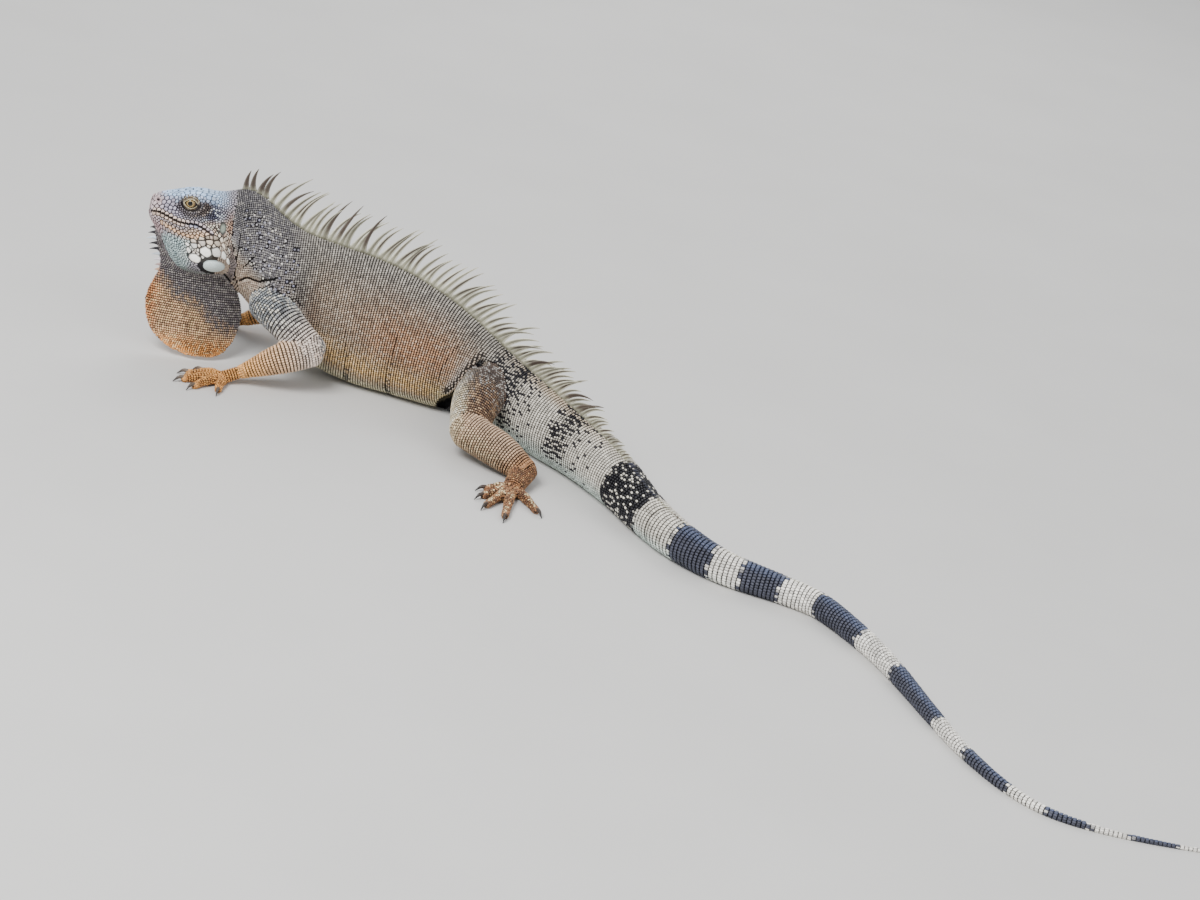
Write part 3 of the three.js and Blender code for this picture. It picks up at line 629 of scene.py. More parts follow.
# Folds of the left side, which the right side repeats: at and turn / pi along each, its width
# and how far it stands out of the skin.
GROIN = [(107, 0.22), (104, 0.32), (98, 0.45), (89, 0.57), (76, 0.68), (66, 0.8), (60, 0.92)]
FOLDS = [
    ([(-56, 0.4), (-52, 0.5), (-48, 0.66), (-47, 0.85)], 2.6, -1.2),
    ([(5, 0.34), (3, 0.45), (2, 0.66), (1, 0.85)], 2.6, -1.4),
    ([(76, 0.22), (67, 0.36), (64, 0.46), (63, 0.55)], 2.4, -1.2),
    (GROIN, 6, -7.5),
    ([(104, 0.15), (97, 0.33), (89, 0.47), (80, 0.55), (68, 0.57)], 6.5, 3.6),
    ([(-176, 0.84), (-167, 0.66), (-153, 0.56), (-142, 0.46), (-128, 0.36)], 2.6, -2.8),
    ([(-172, 0.62), (-165, 0.5), (-160, 0.42)], 2.4, -1.8),
    ([(-186, 0.66), (-179, 0.78), (-170, 0.88)], 3, -2.2),
    ([(-180, 0.38), (-178, 0.5), (-178, 0.62), (-172, 0.74)], 2.4, -1.6),
    ([(-131, 0.58), (-121, 0.47), (-113, 0.42), (-104, 0.46)], 4, -2.4),
    ([(-137, 0.52), (-124, 0.4), (-112, 0.34)], 5, 1.6),
    (on_side(MOUTH), 1.6, -1.8),
    (on_side(EAR), 3.4, -1.7),
]


def folded(mesh):
    """Moves points along their normals by each fold's depth times a bell of their distance from
    its line, fading towards the line's ends."""
    points = points_of(mesh)
    normal = np.empty(points.size, np.float32)
    mesh.vertex_normals.foreach_get("vector", normal)
    normal, shift = normal.reshape(-1, 3), np.zeros(len(points))
    share = np.linspace(0, 1, 90)
    for knots, width, depth in FOLDS:
        curve, _ = threaded(knots)
        at, turn = curve[np.linspace(0, len(curve) - 1, len(share)).astype(int)].T
        for side in SIDES.values():
            line = body_surface(at, side * turn * np.pi, -SKIN_DEPTH)
            low, high = line.min(0) - 3 * width, line.max(0) + 3 * width
            near = np.flatnonzero(((points > low) & (points < high)).all(1))
            gap = np.linalg.norm(points[near, None] - line[None], axis=-1)
            u = share[gap.argmin(1)]
            shift[near] += depth * bump(gap.min(1), 0, width) * np.clip(8 * u * (1 - u), 0, 1)
    points += normal * shift[:, None]
    points[:, 2] = np.maximum(points[:, 2], 0.4)
    set_points(mesh, points)


def fleshy_skin():
    """The flesh joined into one surface on a fine grid, softened, folded and thinned out."""
    flesh = make_object("flesh", *shells(skin_grids()))
    fuse = flesh.modifiers.new("fuse", "REMESH")
    fuse.mode, fuse.voxel_size = "VOXEL", SKIN_STEP * MM
    settle_modifiers(flesh)
    softened(flesh.data, 6, 0.5, fill=False)
    softened(flesh.data, 30, 0.6, fill=True)
    folded(flesh.data)
    flesh.modifiers.new("thin", "DECIMATE").ratio = SKIN_SHARE
    return joined([settle_modifiers(flesh), tail_skin()], "skin")


skin = fleshy_skin()


# ---------------------------------------------------------------- scales
PROBE_TURN = 0.035  # turn between the neighbours that show how a scale lies
FARTHEST_MOVE = 2.6  # a root moves at most this far onto the skin
LEAST_FACING = 0.2  # cosine between a scale and the surface that it was laid from
FLOOR_GAP = 0.03  # scales stay this far above the ground
PATCH = 0.0015  # size of a scale's own patch on the unwrap
CELLS = 1 << 13  # cells of a clearing grid along each axis, half of them below zero


def laid(points):
    """The nearest places on the skin to an array of points."""
    probe = bare_points("probe", points)
    hug = probe.modifiers.new("hug", "SHRINKWRAP")
    hug.target, hug.wrap_method = skin, "NEAREST_SURFACEPOINT"
    seen = probe.evaluated_get(bpy.context.evaluated_depsgraph_get())
    found = points_of(seen.data).reshape(points.shape)
    bpy.data.objects.remove(probe)
    return found


def rows_along(surface, start, stop, pitch):
    """Places along a tube from start to stop, spaced by pitch(place) in mm: where the running
    sum of length over pitch passes whole numbers. Length is that between mean rings."""
    fine = np.linspace(start, stop, 500)
    rings = surface(fine[:, None], turns(24))
    length = np.linalg.norm(np.diff(rings, axis=0), axis=-1).mean(1)
    middle = (fine[1:] + fine[:-1]) / 2
    count = np.concatenate([[0], np.cumsum(length / pitch(middle))])
    return np.interp(np.arange(0.5, count[-1], 1), count, fine)


def ringed(surface, start, stop, pitch, across):
    """Roots of scales in rings round a tube. Every ring's length is counted in scales that are
    across(place, turn) wide, and every second ring is shifted by half a scale. Gives their place
    and turn, and the length and width that each has to itself."""
    places = rows_along(surface, start, stop, pitch)
    fine = np.linspace(0, TAU, 241)
    steps = np.linalg.norm(np.diff(surface(places[:, None], fine), axis=1), axis=-1)
    middle = (fine[1:] + fine[:-1]) / 2
    count = np.cumsum(steps / across(places[:, None], middle), 1)
    count = np.concatenate([np.zeros((len(places), 1)), count], 1)
    whole = np.maximum(np.round(count[:, -1]).astype(int), 3)
    turn = np.concatenate([
        np.interp((np.arange(n) + 0.25 + 0.5 * (i % 2)) / n * c[-1], c, fine)
        for i, (n, c) in enumerate(zip(whole, count))
    ])
    place = np.repeat(places, whole)
    width = across(place, turn) * np.repeat(count[:, -1] / whole, whole)
    rise = np.repeat(np.gradient(places), whole)
    ahead, behind = surface(place + rise / 4, turn), surface(place - rise / 4, turn)
    length = np.clip(2 * np.linalg.norm(ahead - behind, axis=-1), 0.5, 1.7 * pitch(place))
    return place, turn, np.stack([length, width], -1)


def clear_of(root, others, cell):
    """Which roots share no cell of a grid with the others, nor a neighbouring cell."""

    def code(points):
        """One number for the cell that holds a point."""
        return ((np.floor(points / cell).astype(np.int64) + CELLS // 2) * CELLS ** np.arange(3)).sum(-1)

    shifts = np.stack(np.meshgrid(*[[-cell, 0, cell]] * 3), -1).reshape(-1, 1, 3)
    return ~np.isin(code(root), code(others[None] + shifts).ravel())


def rooted(surface, place, turn, step):
    """Where scales stand on the skin and how they lie: each root is laid on the skin with its
    neighbours along and across. Roots that move far, or that the skin folds over, are left out."""
    shift, stir = step / 2, PROBE_TURN / 2
    probes = np.stack([
        surface(place - shift, turn, -SKIN_DEPTH), surface(place + shift, turn, -SKIN_DEPTH),
        surface(place, turn - stir, -SKIN_DEPTH), surface(place, turn + stir, -SKIN_DEPTH),
        surface(place, turn, -SKIN_DEPTH),
    ])
    found = laid(probes)
    along, across = found[1] - found[0], found[3] - found[2]
    was = unit(np.cross(probes[3] - probes[2], probes[1] - probes[0]))
    inward = surface(place, turn, -SKIN_DEPTH - 2)
    outward = np.sign(((probes[4] - inward) * was).sum(-1, keepdims=True))
    normal, was = unit(np.cross(across, along)) * outward, was * outward
    moved = np.linalg.norm(found[4] - probes[4], axis=-1)
    keep = (moved < FARTHEST_MOVE) & ((normal * was).sum(-1) > LEAST_FACING)
    return keep, found[4], unit(along), normal


def scale_form(sides, levels, square=2.0, rise=0.0, peak=0.0):
    """A scale one unit each way from its root: rings of a superellipse whose power is square, each
    level giving its reach, height and darkness. The last level is the peak, and one face closes
    it below. rise lifts the rear and lowers the front; peak moves the top towards the rear."""
    angle = turns(sides) + np.pi / sides
    x, y = power(np.cos(angle), 2 / square), power(np.sin(angle), 2 / square)
    reach, height, dark = np.array(levels[:-1], float).T[..., None]
    lift = 1 + rise * x * (height > 0)
    grid = np.stack([reach * x + peak * (1 - reach), reach * y, height * lift], -1)
    points = np.concatenate([grid.reshape(-1, 3), [[peak, 0, levels[-1][1]]]])
    return points, *peaked_faces(len(reach), sides), np.append(dark + 0 * x, levels[-1][2])


GRAIN = scale_form(8, [(1, -0.5, 1), (0.84, 0.74, 0.4), (0, 1, 0)], 3.0, 0.2, 0.2)
PLATE = scale_form(8, [(1, -0.3, 1), (0.9, 0.55, 0.6), (0.68, 0.95, 0), (0, 0.99, 0)], 2.6, 0.12, 0.1)
WHORL = scale_form(8, [(1, -0.4, 1), (0.84, 0.84, 0.3), (0, 1.04, 0)], 4.5, 0.25, 0.25)
CONE = scale_form(
    9, [(1, -0.4, 1), (0.8, 0.3, 0.55), (0.5, 0.72, 0.1), (0.22, 0.96, 0), (0, 1, 0)], 2.0, 0, 0.1
)


def coat(name, slot, form, root, along, normal, size, marking, patch):
    """One piece of copies of a scale form. size gives each its half-length, half-width and
    height; patch gives its place on the unwrap of the skin that it stands on."""
    points, corners, sizes, rim = form
    count, many = len(root), len(points)
    side = np.cross(normal, along)
    x, y, z = (points[None, :, i, None] * size[:, None, i, None] for i in range(3))
    placed = root[:, None] + x * along[:, None] + y * side[:, None] + z * normal[:, None]
    placed[..., 2] = np.maximum(placed[..., 2], FLOOR_GAP)
    every = (corners + np.arange(count)[:, None] * many).ravel()
    piece = make_object(name, placed, every, np.tile(sizes, count))
    marking, dice = np.repeat(marking, many, axis=0), np.repeat(random.random(count), many)
    dressed(piece, marking, np.tile(rim, count), dice)
    unwrapped(piece, every, np.repeat(patch, many, axis=0) + PATCH * np.tile(points[:, :2], (count, 1)))
    finished(piece, slot, SCALE_PAINT)


# ---------------------------------------------------------------- colours
SLATE, ASH, BONE, CREAM, MINT = "99938b", "b2aca6", "dcd6c9", "e6e1d4", "cfdcd4"
NAVY, SOOT, INK = "2a2e42", "26242a", "100f12"
DARK_BANDS = [
    (309, 370), (420, 462), (489, 530), (568, 632), (693, 776), (829, 886), (924, 964),
    (998, 1041), (1066, 1092), (1109, 1140),
]


def depth_of(turn):
    """How far below the back a turn is: 0 there and 1 under the belly."""
    return np.abs((turn + np.pi) % TAU - np.pi) / np.pi


def past(line, at, depth):
    """How far behind a line down the side a place is. The line gives at, and turn / pi."""
    return at - np.interp(depth, *np.array(line).T[::-1])


def trunk_colours(at, depth, dice):
    """Slate above and brown below, with rust and gold on the flank and a straw belly, and painted shade,
    near black, in the armpit, the groin and along the two folds of the flank."""
    d0, d1, d2 = dice.T
    fore, flap = 1 - ease(at, -140, -110), past(GROIN, at, depth)
    rust = bump(at, 0, 40) * bump(depth, 0.4, 0.14) + bump(at, 52, 36) * bump(depth, 0.4, 0.16)
    # painted shade: the groin's crease, and the shadowed hollow behind the flap above the thigh
    groin = window(flap, -5.5, 5.5 + 8 * ease(depth, 0.28, 0.42) + 14 * ease(depth, 0.58, 0.7), 1.2)
    # painted shade: many scales along the two folds of the flank are darkened, as in the creases' shade
    folds = [
        (d2 < 0.6 * window(past(line, at, depth), -1, 6, 1.5) * ease(depth, 0.48, 0.74)) * 0.8
        for line, _, _ in FOLDS[:2]
    ]
    return washed(
        SLATE,
        ("605e64", (1 - ease(at, -135, -105)) * (1 - ease(depth, 0.45, 0.6)) * 0.8),
        ("a8927e", fore * ease(depth, 0.48, 0.62) * 0.8),
        ("a2958c", bump(at, -118, 14) * bump(depth, 0.46, 0.1) * 0.6),
        ("a6907a", window(at, -98, 104, 14) * ease(depth, 0.08, 0.36) * 0.85),
        ("b98b68", rust * (0.6 + 0.4 * d1)),
        ("d8b072", window(at, -86, 78, 22) * bump(depth, 0.6, 0.09) * (0.6 + 0.35 * d1)),
        ("dcd4b2", window(at, -100, 92, 16) * ease(depth, 0.66, 0.8)),
        ("dfcb98", window(at, 60, 92, 10) * ease(depth, 0.52, 0.62) * 0.8),
        # painted shade: a dark patch in the armpit, behind the upper arm
        ("453f3b", bump(at, -108, 12) * bump(depth, 0.37, 0.1) * 0.75),
        (BONE, (d0 < 0.3) * 0.2),
        (SOOT, (d0 > 0.86) * 0.3),
        (ASH, bump(flap, -13, 6) * window(depth, 0.3, 0.6, 0.04) * 0.6),
        # painted shade in the groin, near black
        (tint(INK) * 0.6, groin * window(depth, 0.24, 1.1, 0.03)),
        ("6a5240", bump(at, -94, 10) * bump(depth, 0.44, 0.14) * 0.6),
        *((SOOT, share) for share in folds),
    )


def body_markings(scales, dice):
    """The body's colours by distance along it and by depth below the back: the trunk's, then a
    pale tail with specks and dark bands, which past 380 carry a painted highlight, a lighter blue, on
    their top side. dice holds three random numbers for each scale, which break every edge up scale by
    scale."""
    at, depth = scales["place"], depth_of(scales["turn"])
    d1, d2 = dice.T[1:]
    pale = washed(
        BONE,
        (MINT, ease(depth, 0.45, 0.75)),
        ("f4f0e8", ease(at, 380, 520)),
        ("9c958c", (1 - ease(at, 120, 190)) * (1 - ease(depth, 0.4, 0.6)) * 0.8),
        ("b39a7c", bump(at, 200, 70) * (1 - ease(depth, 0.05, 0.2)) * 0.7),
    )
    speck = window(at, 100, 162, 12) * 0.3 * (1 - ease(depth, 0.5, 0.62)) + 0.25 * bump(at, 118, 8)
    speck = speck + 0.3 * bump(at, 152, 6) + 0.12 * window(at, 162, 186, 6)
    speck = np.maximum(speck, 0.42 * window(at, 213, 243, 5) * (1 - ease(depth, 0.5, 0.7)))
    speck = np.maximum(speck, 0.1 * window(at, 240, 279, 8))
    tail = ease(at + 10 * (d1 - 0.5), 106, 122)
    dark = sum(window(at + 7 * (d1 - 0.5), low, high, 1.0) for low, high in DARK_BANDS)
    return washed(
        trunk_colours(at, depth, dice),
        (pale, tail),
        (SOOT, (d2 < speck) * tail),
        ("8d8880", (d2 > speck) * (d2 < 1.4 * speck) * tail * 0.6),
        (NAVY, dark * 0.97),
        ("17161d", dark * (at < 385)),
        # painted highlight: a lighter blue on the top side of the dark bands
        ("4c5a7c", dark * (at > 380) * (1 - ease(depth, 0.05, 0.3)) * 0.6),
        (CREAM, window(at, 314, 366, 4) * (d2 < 0.22 + 0.14 * ease(depth, 0.4, 0.8))),
    )


def arm_colours(scales, part, dice):
    """Grey-blue at the shoulder, pink at the elbow and orange from the wrist on."""
    d0, d1, _ = dice.T
    far = scales["place"] + (0 if part == "upper" else 1.2)
    paw = float(part in ("paw", "digit"))
    return washed(
        "8d9194",
        ("e8d6c8", ease(far, 0.3, 1.0)),
        ("e8bd92", ease(far, 1.2, 1.75) * 0.9),
        ("eeae62", ease(far, 1.6, 2.2) * 0.9),
        ("d89a55", paw),
        ("a4662f", (d0 < 0.3) * 0.6 * paw),
        (CREAM, (d0 < 0.35) * (1 - ease(far, 0.4, 0.9)) * 0.8),
        (SOOT, (d1 > 0.85) * (1 - ease(far, 0.6, 1.2)) * 0.6),
    )


def leg_colours(scales, part, dice):
    """A brown thigh, dark at the hip, with a cream front, a tan shank and a mottled foot."""
    d0, d1, d2 = dice.T
    place, normal = scales["place"], scales["normal"]
    front = -normal[:, 0]
    cream = ease(front + 0.3 * (d1 - 0.5), 0.25, 0.85)
    hip = 1 - ease(place + 0.35 * (d2 - 0.5), 0.25, 0.75)
    knob = ease(normal[:, 2], 0.8, 0.95) * (d0 < 0.5) * ease(place, 0.25, 0.5)
    thigh = [
        ("ab8f72", ease(front, -0.3, 0.4) * 0.7), ("543c2e", (d0 < 0.4) * 0.75),
        ("c8aa88", (d0 > 0.84) * 0.6), ("e4d6b6", cream * 0.95),
        ("f2ead6", cream * (d0 < 0.35) * 0.8), ("4c4340", hip * 0.85), (ASH, hip * (d1 < 0.3) * 0.8),
    ]
    shank = [
        ("c4a588", ease(normal[:, 2], -0.2, 0.5) * (1 - ease(place, 0.7, 1))),
        ("e2cca6", cream * 0.8 * (1 - ease(place, 0.6, 1))), ("aa7a50", ease(place, 0.65, 1.05) * 0.85),
    ]
    paw = [("9a6a44", 0.9), ("cfa472", (d2 < 0.25) * 0.6), ("4c3020", (d1 < 0.35) * 0.6)]
    parts = {"upper": thigh, "lower": shank, "paw": paw, "digit": [*paw, ("eed6a6", knob * 0.85)]}
    return washed("8f6f52", *parts[part])


def fan_markings(scales, dice):
    """Charcoal above a slanting line and orange below it, redder along the front edge."""
    d0, d1, _ = dice.T
    place, x = scales["place"], scales["root"][:, 0]
    line = 77 - 0.6 * (x + 255) + 9 * (d1 - 0.5) + 3 * np.sin(x / 7) + 2.5 * np.sin(place / 3 + x / 5)
    return washed(
        "deb48a",
        ("e39648", (1 - ease(place, 8, 26)) * 0.9),
        ("e08c4c", (1 - ease(x, -258, -240)) * 0.85),
        ("d2a49c", (1 - ease(place, 2, 9)) * (1 - ease(x, -245, -225)) * 0.7),
        ("f0cc98", (d0 < 0.3) * 0.6),
        ("5a3a28", (d0 > 0.84) * 0.5),
        ("68656a", ease(place, line - 11, line + 8) * 0.95),
        ("a8a29c", ease(place, line, line + 10) * (d0 < 0.35) * 0.6),
    )


# ---------------------------------------------------------------- finishes
def node_group(name, inputs, outputs):
    """A new node group with named sockets, and the nodes that hold its inputs and outputs."""
    group = bpy.data.node_groups.new(name, "ShaderNodeTree")
    for label, kind in inputs:
        group.interface.new_socket(label, in_out="INPUT", socket_type=kind)
    for label, kind in outputs:
        group.interface.new_socket(label, in_out="OUTPUT", socket_type=kind)
    return group, group.nodes.new("NodeGroupInput"), group.nodes.new("NodeGroupOutput")


def math(tree, operation, *values):
    """An operation on sockets or numbers."""
    node = tree.nodes.new("ShaderNodeMath")
    node.operation = operation
    for socket, value in zip(node.inputs, values):
        if isinstance(value, bpy.types.NodeSocket):
            tree.links.new(value, socket)
        else:
            socket.default_value = value
    return node.outputs[0]


def blend_colour(tree, share, a, b, kind="MIX"):
    """A share of the way from colour a to b, or to their product."""
    node = tree.nodes.new("ShaderNodeMix")
    node.data_type, node.blend_type = "RGBA", kind
    for index, value in ((0, share), (6, a), (7, b)):
        if isinstance(value, bpy.types.NodeSocket):
            tree.links.new(value, node.inputs[index])
        else:
            node.inputs[index].default_value = value
    return node.outputs[2]


def map_range(tree, value, low, high, to_low=0.0, to_high=1.0):
    """A value moved straight from one range to another and cut to it."""
    node = tree.nodes.new("ShaderNodeMapRange")
    tree.links.new(value, node.inputs["Value"])
    for label, v in zip(("From Min", "From Max", "To Min", "To Max"), (low, high, to_low, to_high)):
        node.inputs[label].default_value = v
    return node.outputs["Result"]


def noise(tree, vector, scale, detail):
    """Smooth noise from 0 to 1, with so many periods to the unit."""
    node = tree.nodes.new("ShaderNodeTexNoise")
    tree.links.new(vector, node.inputs["Vector"])
    node.inputs["Scale"].default_value, node.inputs["Detail"].default_value = scale, detail
    return node.outputs["Fac"]


def new_paint(name, settings):
    """A material, its node tree and its shader, whose own sockets hold the constant settings."""
    paint = bpy.data.materials.new(name)
    paint.use_nodes = True
    shader = paint.node_tree.nodes["Principled BSDF"]
    for label, value in settings.items():
        shader.inputs[label].default_value = value
    return paint, paint.node_tree, shader


def placed_group(tree, group, reads):
    """A node group in a material. Each input in reads is fed from an attribute of the points."""
    node = tree.nodes.new("ShaderNodeGroup")
    node.node_tree = group
    for label, name in reads.items():
        source = tree.nodes.new("ShaderNodeAttribute")
        source.attribute_name = name
        colour = node.inputs[label].type == "RGBA"
        tree.links.new(source.outputs["Color" if colour else "Fac"], node.inputs[label])
    return node


def scale_group():
    """Colour and roughness of a scale: its marking mottled by two noises, a little lighter or
    darker from scale to scale, and darkened into the gap colour round its rim, which is partly the
    dark skin between scales and partly painted shade."""
    group, start, end = node_group(
        "scale finish",
        [("Marking", "NodeSocketColor"), ("Rim", "NodeSocketFloat"), ("Dice", "NodeSocketFloat"),
         ("Gap", "NodeSocketColor"), ("Contrast", "NodeSocketFloat")],
        [("Color", "NodeSocketColor"), ("Roughness", "NodeSocketFloat"), ("Height", "NodeSocketFloat")],
    )
    place = group.nodes.new("ShaderNodeTexCoord").outputs["Object"]
    fine, broad = noise(group, place, 900, 3), noise(group, place, 45, 2)
    swing = math(group, "MULTIPLY_ADD", start.outputs["Dice"], 0.5, 0.75)
    spread = math(group, "POWER", swing, start.outputs["Contrast"])
    shade = math(group, "MULTIPLY", spread, map_range(group, fine, 0.3, 0.7, 0.86, 1.14))
    shade = math(group, "MULTIPLY", shade, map_range(group, broad, 0.35, 0.65, 0.9, 1.1))
    grey = group.nodes.new("ShaderNodeCombineColor")
    for socket in grey.inputs[:3]:
        group.links.new(shade, socket)
    body = blend_colour(group, 1.0, start.outputs["Marking"], grey.outputs[0], "MULTIPLY")
    gap = map_range(group, start.outputs["Rim"], 0.3, 0.9)
    deep = blend_colour(group, 0.07, start.outputs["Gap"], start.outputs["Marking"])
    group.links.new(blend_colour(group, gap, body, deep), end.inputs["Color"])
    rough = map_range(group, fine, 0.3, 0.7, 0.42, 0.62)
    group.links.new(math(group, "MULTIPLY_ADD", gap, 0.2, rough), end.inputs["Roughness"])
    group.links.new(fine, end.inputs["Height"])
    return group


SCALE_FINISH = scale_group()


def scaly(name, gap, contrast=1.0, specular=0.5):
    """A material for skin or scales, from the marking, rim and dice on their points."""
    paint, tree, shader = new_paint(name, {"Specular IOR Level": specular})
    finish = placed_group(tree, SCALE_FINISH, {"Marking": "marking", "Rim": "rim", "Dice": "dice"})
    finish.inputs["Gap"].default_value = (*gap, 1)
    finish.inputs["Contrast"].default_value = contrast
    ridge = tree.nodes.new("ShaderNodeBump")
    ridge.inputs["Strength"].default_value, ridge.inputs["Distance"].default_value = 0.25, 0.0004
    tree.links.new(finish.outputs["Height"], ridge.inputs["Height"])
    tree.links.new(finish.outputs["Color"], shader.inputs["Base Color"])
    tree.links.new(finish.outputs["Roughness"], shader.inputs["Roughness"])
    tree.links.new(ridge.outputs["Normal"], shader.inputs["Normal"])
    return paint


# The gap colours are near black: partly the dark skin between scales, partly painted shade.
SCALE_PAINT = scaly("iguana_scales", tint(INK) * 1.6)
SKIN_PAINT = scaly("iguana_skin", tint(INK) * 0.5, 1.0, 0.06)
SHIELD_PAINT = scaly("iguana_shield", tint(INK), 0.6, 0.6)
CREST_PAINT = scaly("iguana_crest", tint("3a2f28"), 0.7, 0.35)
HORN_PAINT = scaly("iguana_horn", tint(INK), 0.5, 0.6)


def finished(piece, slot, paint, *nodes):
    """Gives a piece its material and its place in the frame."""
    piece.data.materials.clear()
    piece.data.materials.append(paint)
    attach(piece, "root")
    if nodes:
        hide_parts(*nodes)


# ---------------------------------------------------------------- coats of scales
LIMB_CELL, CONE_CELL = 0.8, 0.85  # cells of the grids that clear a limb's scales and the cones
GOLDEN = 0.618  # steps of this length, wrapped at 1, fill 0 to 1 evenly
GROIN_REACH = 4.2  # half-width of the crease that holds no scales
covered = [np.zeros((0, 3))]  # roots of the scales laid so far
cones = [np.zeros((0, 3))]  # roots of the neck's raised cones
painted = []  # roots with their markings, for the skin between them


def chosen(scales, keep):
    """The scales for which keep is true."""
    return {key: values[keep] for key, values in scales.items()}


def covering(surface, start, stop, pitch, across, step, marked, height, cell=1.1):
    """Scales in rings on a surface, wherever no earlier scale stands: their places, lie, room,
    heights and the colours that marked(scales, dice) gives them."""
    place, turn, room = ringed(surface, start, stop, pitch, across)
    keep, root, along, normal = rooted(surface, place, turn, step)
    keep &= clear_of(root, np.concatenate(covered), cell) & clear_of(root, cones[-1], CONE_CELL)
    scales = {
        "place": place, "turn": turn, "room": room, "root": root, "along": along,
        "normal": normal, "height": height(place),
    }
    scales = chosen(scales, keep)
    covered.append(scales["root"])
    dice = random.random((keep.sum(), 3))
    dice[:, 2] = (GOLDEN * np.arange(len(dice)) + 0.4 * dice[:, 2]) % 1
    scales["marking"] = marked(scales, dice)
    return scales


def coated(name, slot, form, sets, fill, chart):
    """One piece from several sets of scales, whose forms fill a share of the room they have, 7 %
    more or less. chart(k, place) moves the places of set k to the piece's unwrap, 1 wide."""
    spots = [np.stack([chart(k, s["place"]), s["turn"] % TAU / TAU], -1) for k, s in enumerate(sets)]
    every = {key: np.concatenate([s[key] for s in sets]) for key in sets[0]}
    size = np.column_stack([every["room"] * fill, every["height"]])
    size *= 0.93 + 0.14 * random.random((len(size), 1))
    lie = (every[key] for key in ("root", "along", "normal"))
    coat(name, slot, form, *lie, size, every["marking"], 0.01 + 0.98 * np.concatenate(spots))
    painted.append((every["root"], every["marking"]))


def same(value):
    """A measure that is the same everywhere."""
    return lambda *place: value + 0 * sum(np.asarray(p) for p in place)


def limb_coat(kind, paw, side_name, colours, pitch, narrow, wide):
    """The scales of an arm or leg, ring by ring: the shank first, then the parts that meet it, then
    the digits. They widen from narrow at the inner side to wide at the outer one."""

    def across(place, turn):
        """The width of a scale, by the cosine of its turn."""
        return mix(narrow, wide, ease(SIDES[side_name] * np.cos(turn), 0, 0.8)) + 0 * place

    def part_of(part, surface, start, stop, step, long, broad, high):
        """The scales of one part, long and broad and high in mm."""
        return covering(
            surface, start, stop, same(long), broad, step,
            lambda scales, dice: colours(scales, part, dice), same(high), LIMB_CELL,
        )

    sets = [
        part_of(part, limbs[kind, side_name, part], start, stop, step, long, broad, 0.9)
        for part, start, stop, step, long, broad in (
            ("lower", -0.9, 1.3, 0.02, pitch, across), ("upper", -0.7, 1.9, 0.02, pitch, across),
            ("paw", -0.9, 1.9, 0.04, 2.6, same(2.2)),
        )
    ]
    coated(
        f"scales_{kind}_{side_name}", "limb_skin", GRAIN, sets, (0.39, 0.48),
        lambda k, place: (k + np.clip(place + 1, 0, 3) / 3) / 3,
    )
    surfaces = [limb_surface(toe, DIGIT_RADII, 1.0, KNUCKLE) for toe, _ in digits[kind, side_name]]
    coated(
        f"scales_{paw}_{side_name}", "limb_skin", PLATE,
        [part_of("digit", s, 0.05, 1.9, 0.05, 2.7, same(2.6), 1.15) for s in surfaces],
        (0.46, 0.47), lambda k, place: (k + np.clip(place, 0, 2) / 2) / 5,
    )


def fan_coat():
    """The scales of the throat fan, ring by ring from its lower edge up."""
    scales = covering(
        fan_surface, 1.5, 125, same(2.5), same(2.3), 1.2, fan_markings, same(0.7), 0.9
    )
    coated("scales_fan", "throat_fan", GRAIN, [scales], (0.4, 0.46), lambda k, place: place / 120)


def along_body(k, place):
    """The share of the body's length at a place."""
    return (place - NOSE) / (TAIL_END - NOSE)


def neck_tubercles():
    """Raised cones among the neck's scales, in staggered rows with their places shaken."""
    at, row = np.meshgrid(np.arange(-178, -112, 6.6), np.arange(11))
    at = (at + 3.3 * (row % 2)).ravel() + random.normal(0, 1.2, at.size)
    depth = (0.2 + 0.031 * row).ravel() + random.normal(0, 0.006, at.size)
    keep = bump(at, -146, 26) * bump(depth, 0.36, 0.13) > 0.25 * random.random(at.size)
    at, depth = at[keep], depth[keep] * np.pi
    at, turn = np.concatenate([at, at]), np.concatenate([depth, -depth])
    keep, root, along, normal = rooted(body_surface, at, turn, 1.2)
    scales = {"place": at, "turn": turn, "root": root, "along": along, "normal": normal}
    scales = chosen(scales, keep)
    cones.append(scales["root"])
    many = keep.sum()
    size = 1.15 + 0.75 * bump(scales["place"], -146, 22) * random.random(many) ** 0.5
    scales["marking"] = washed("8b8a9c", (BONE, random.random(many) ** 2))
    scales["room"], scales["height"] = np.stack([size, size], -1), size * 1.05
    coated("tubercles", "body_skin", CONE, [scales], (1, 1), along_body)


def lengths_of_coat(scales, slot, form, fill, cuts):
    """Pieces of a coat, each with the scales from one place along the body to another."""
    for name, low, high in cuts:
        some = chosen(scales, (scales["place"] >= low) & (scales["place"] < high))
        coated(f"scales_{name}", slot, form, [some], fill, along_body)


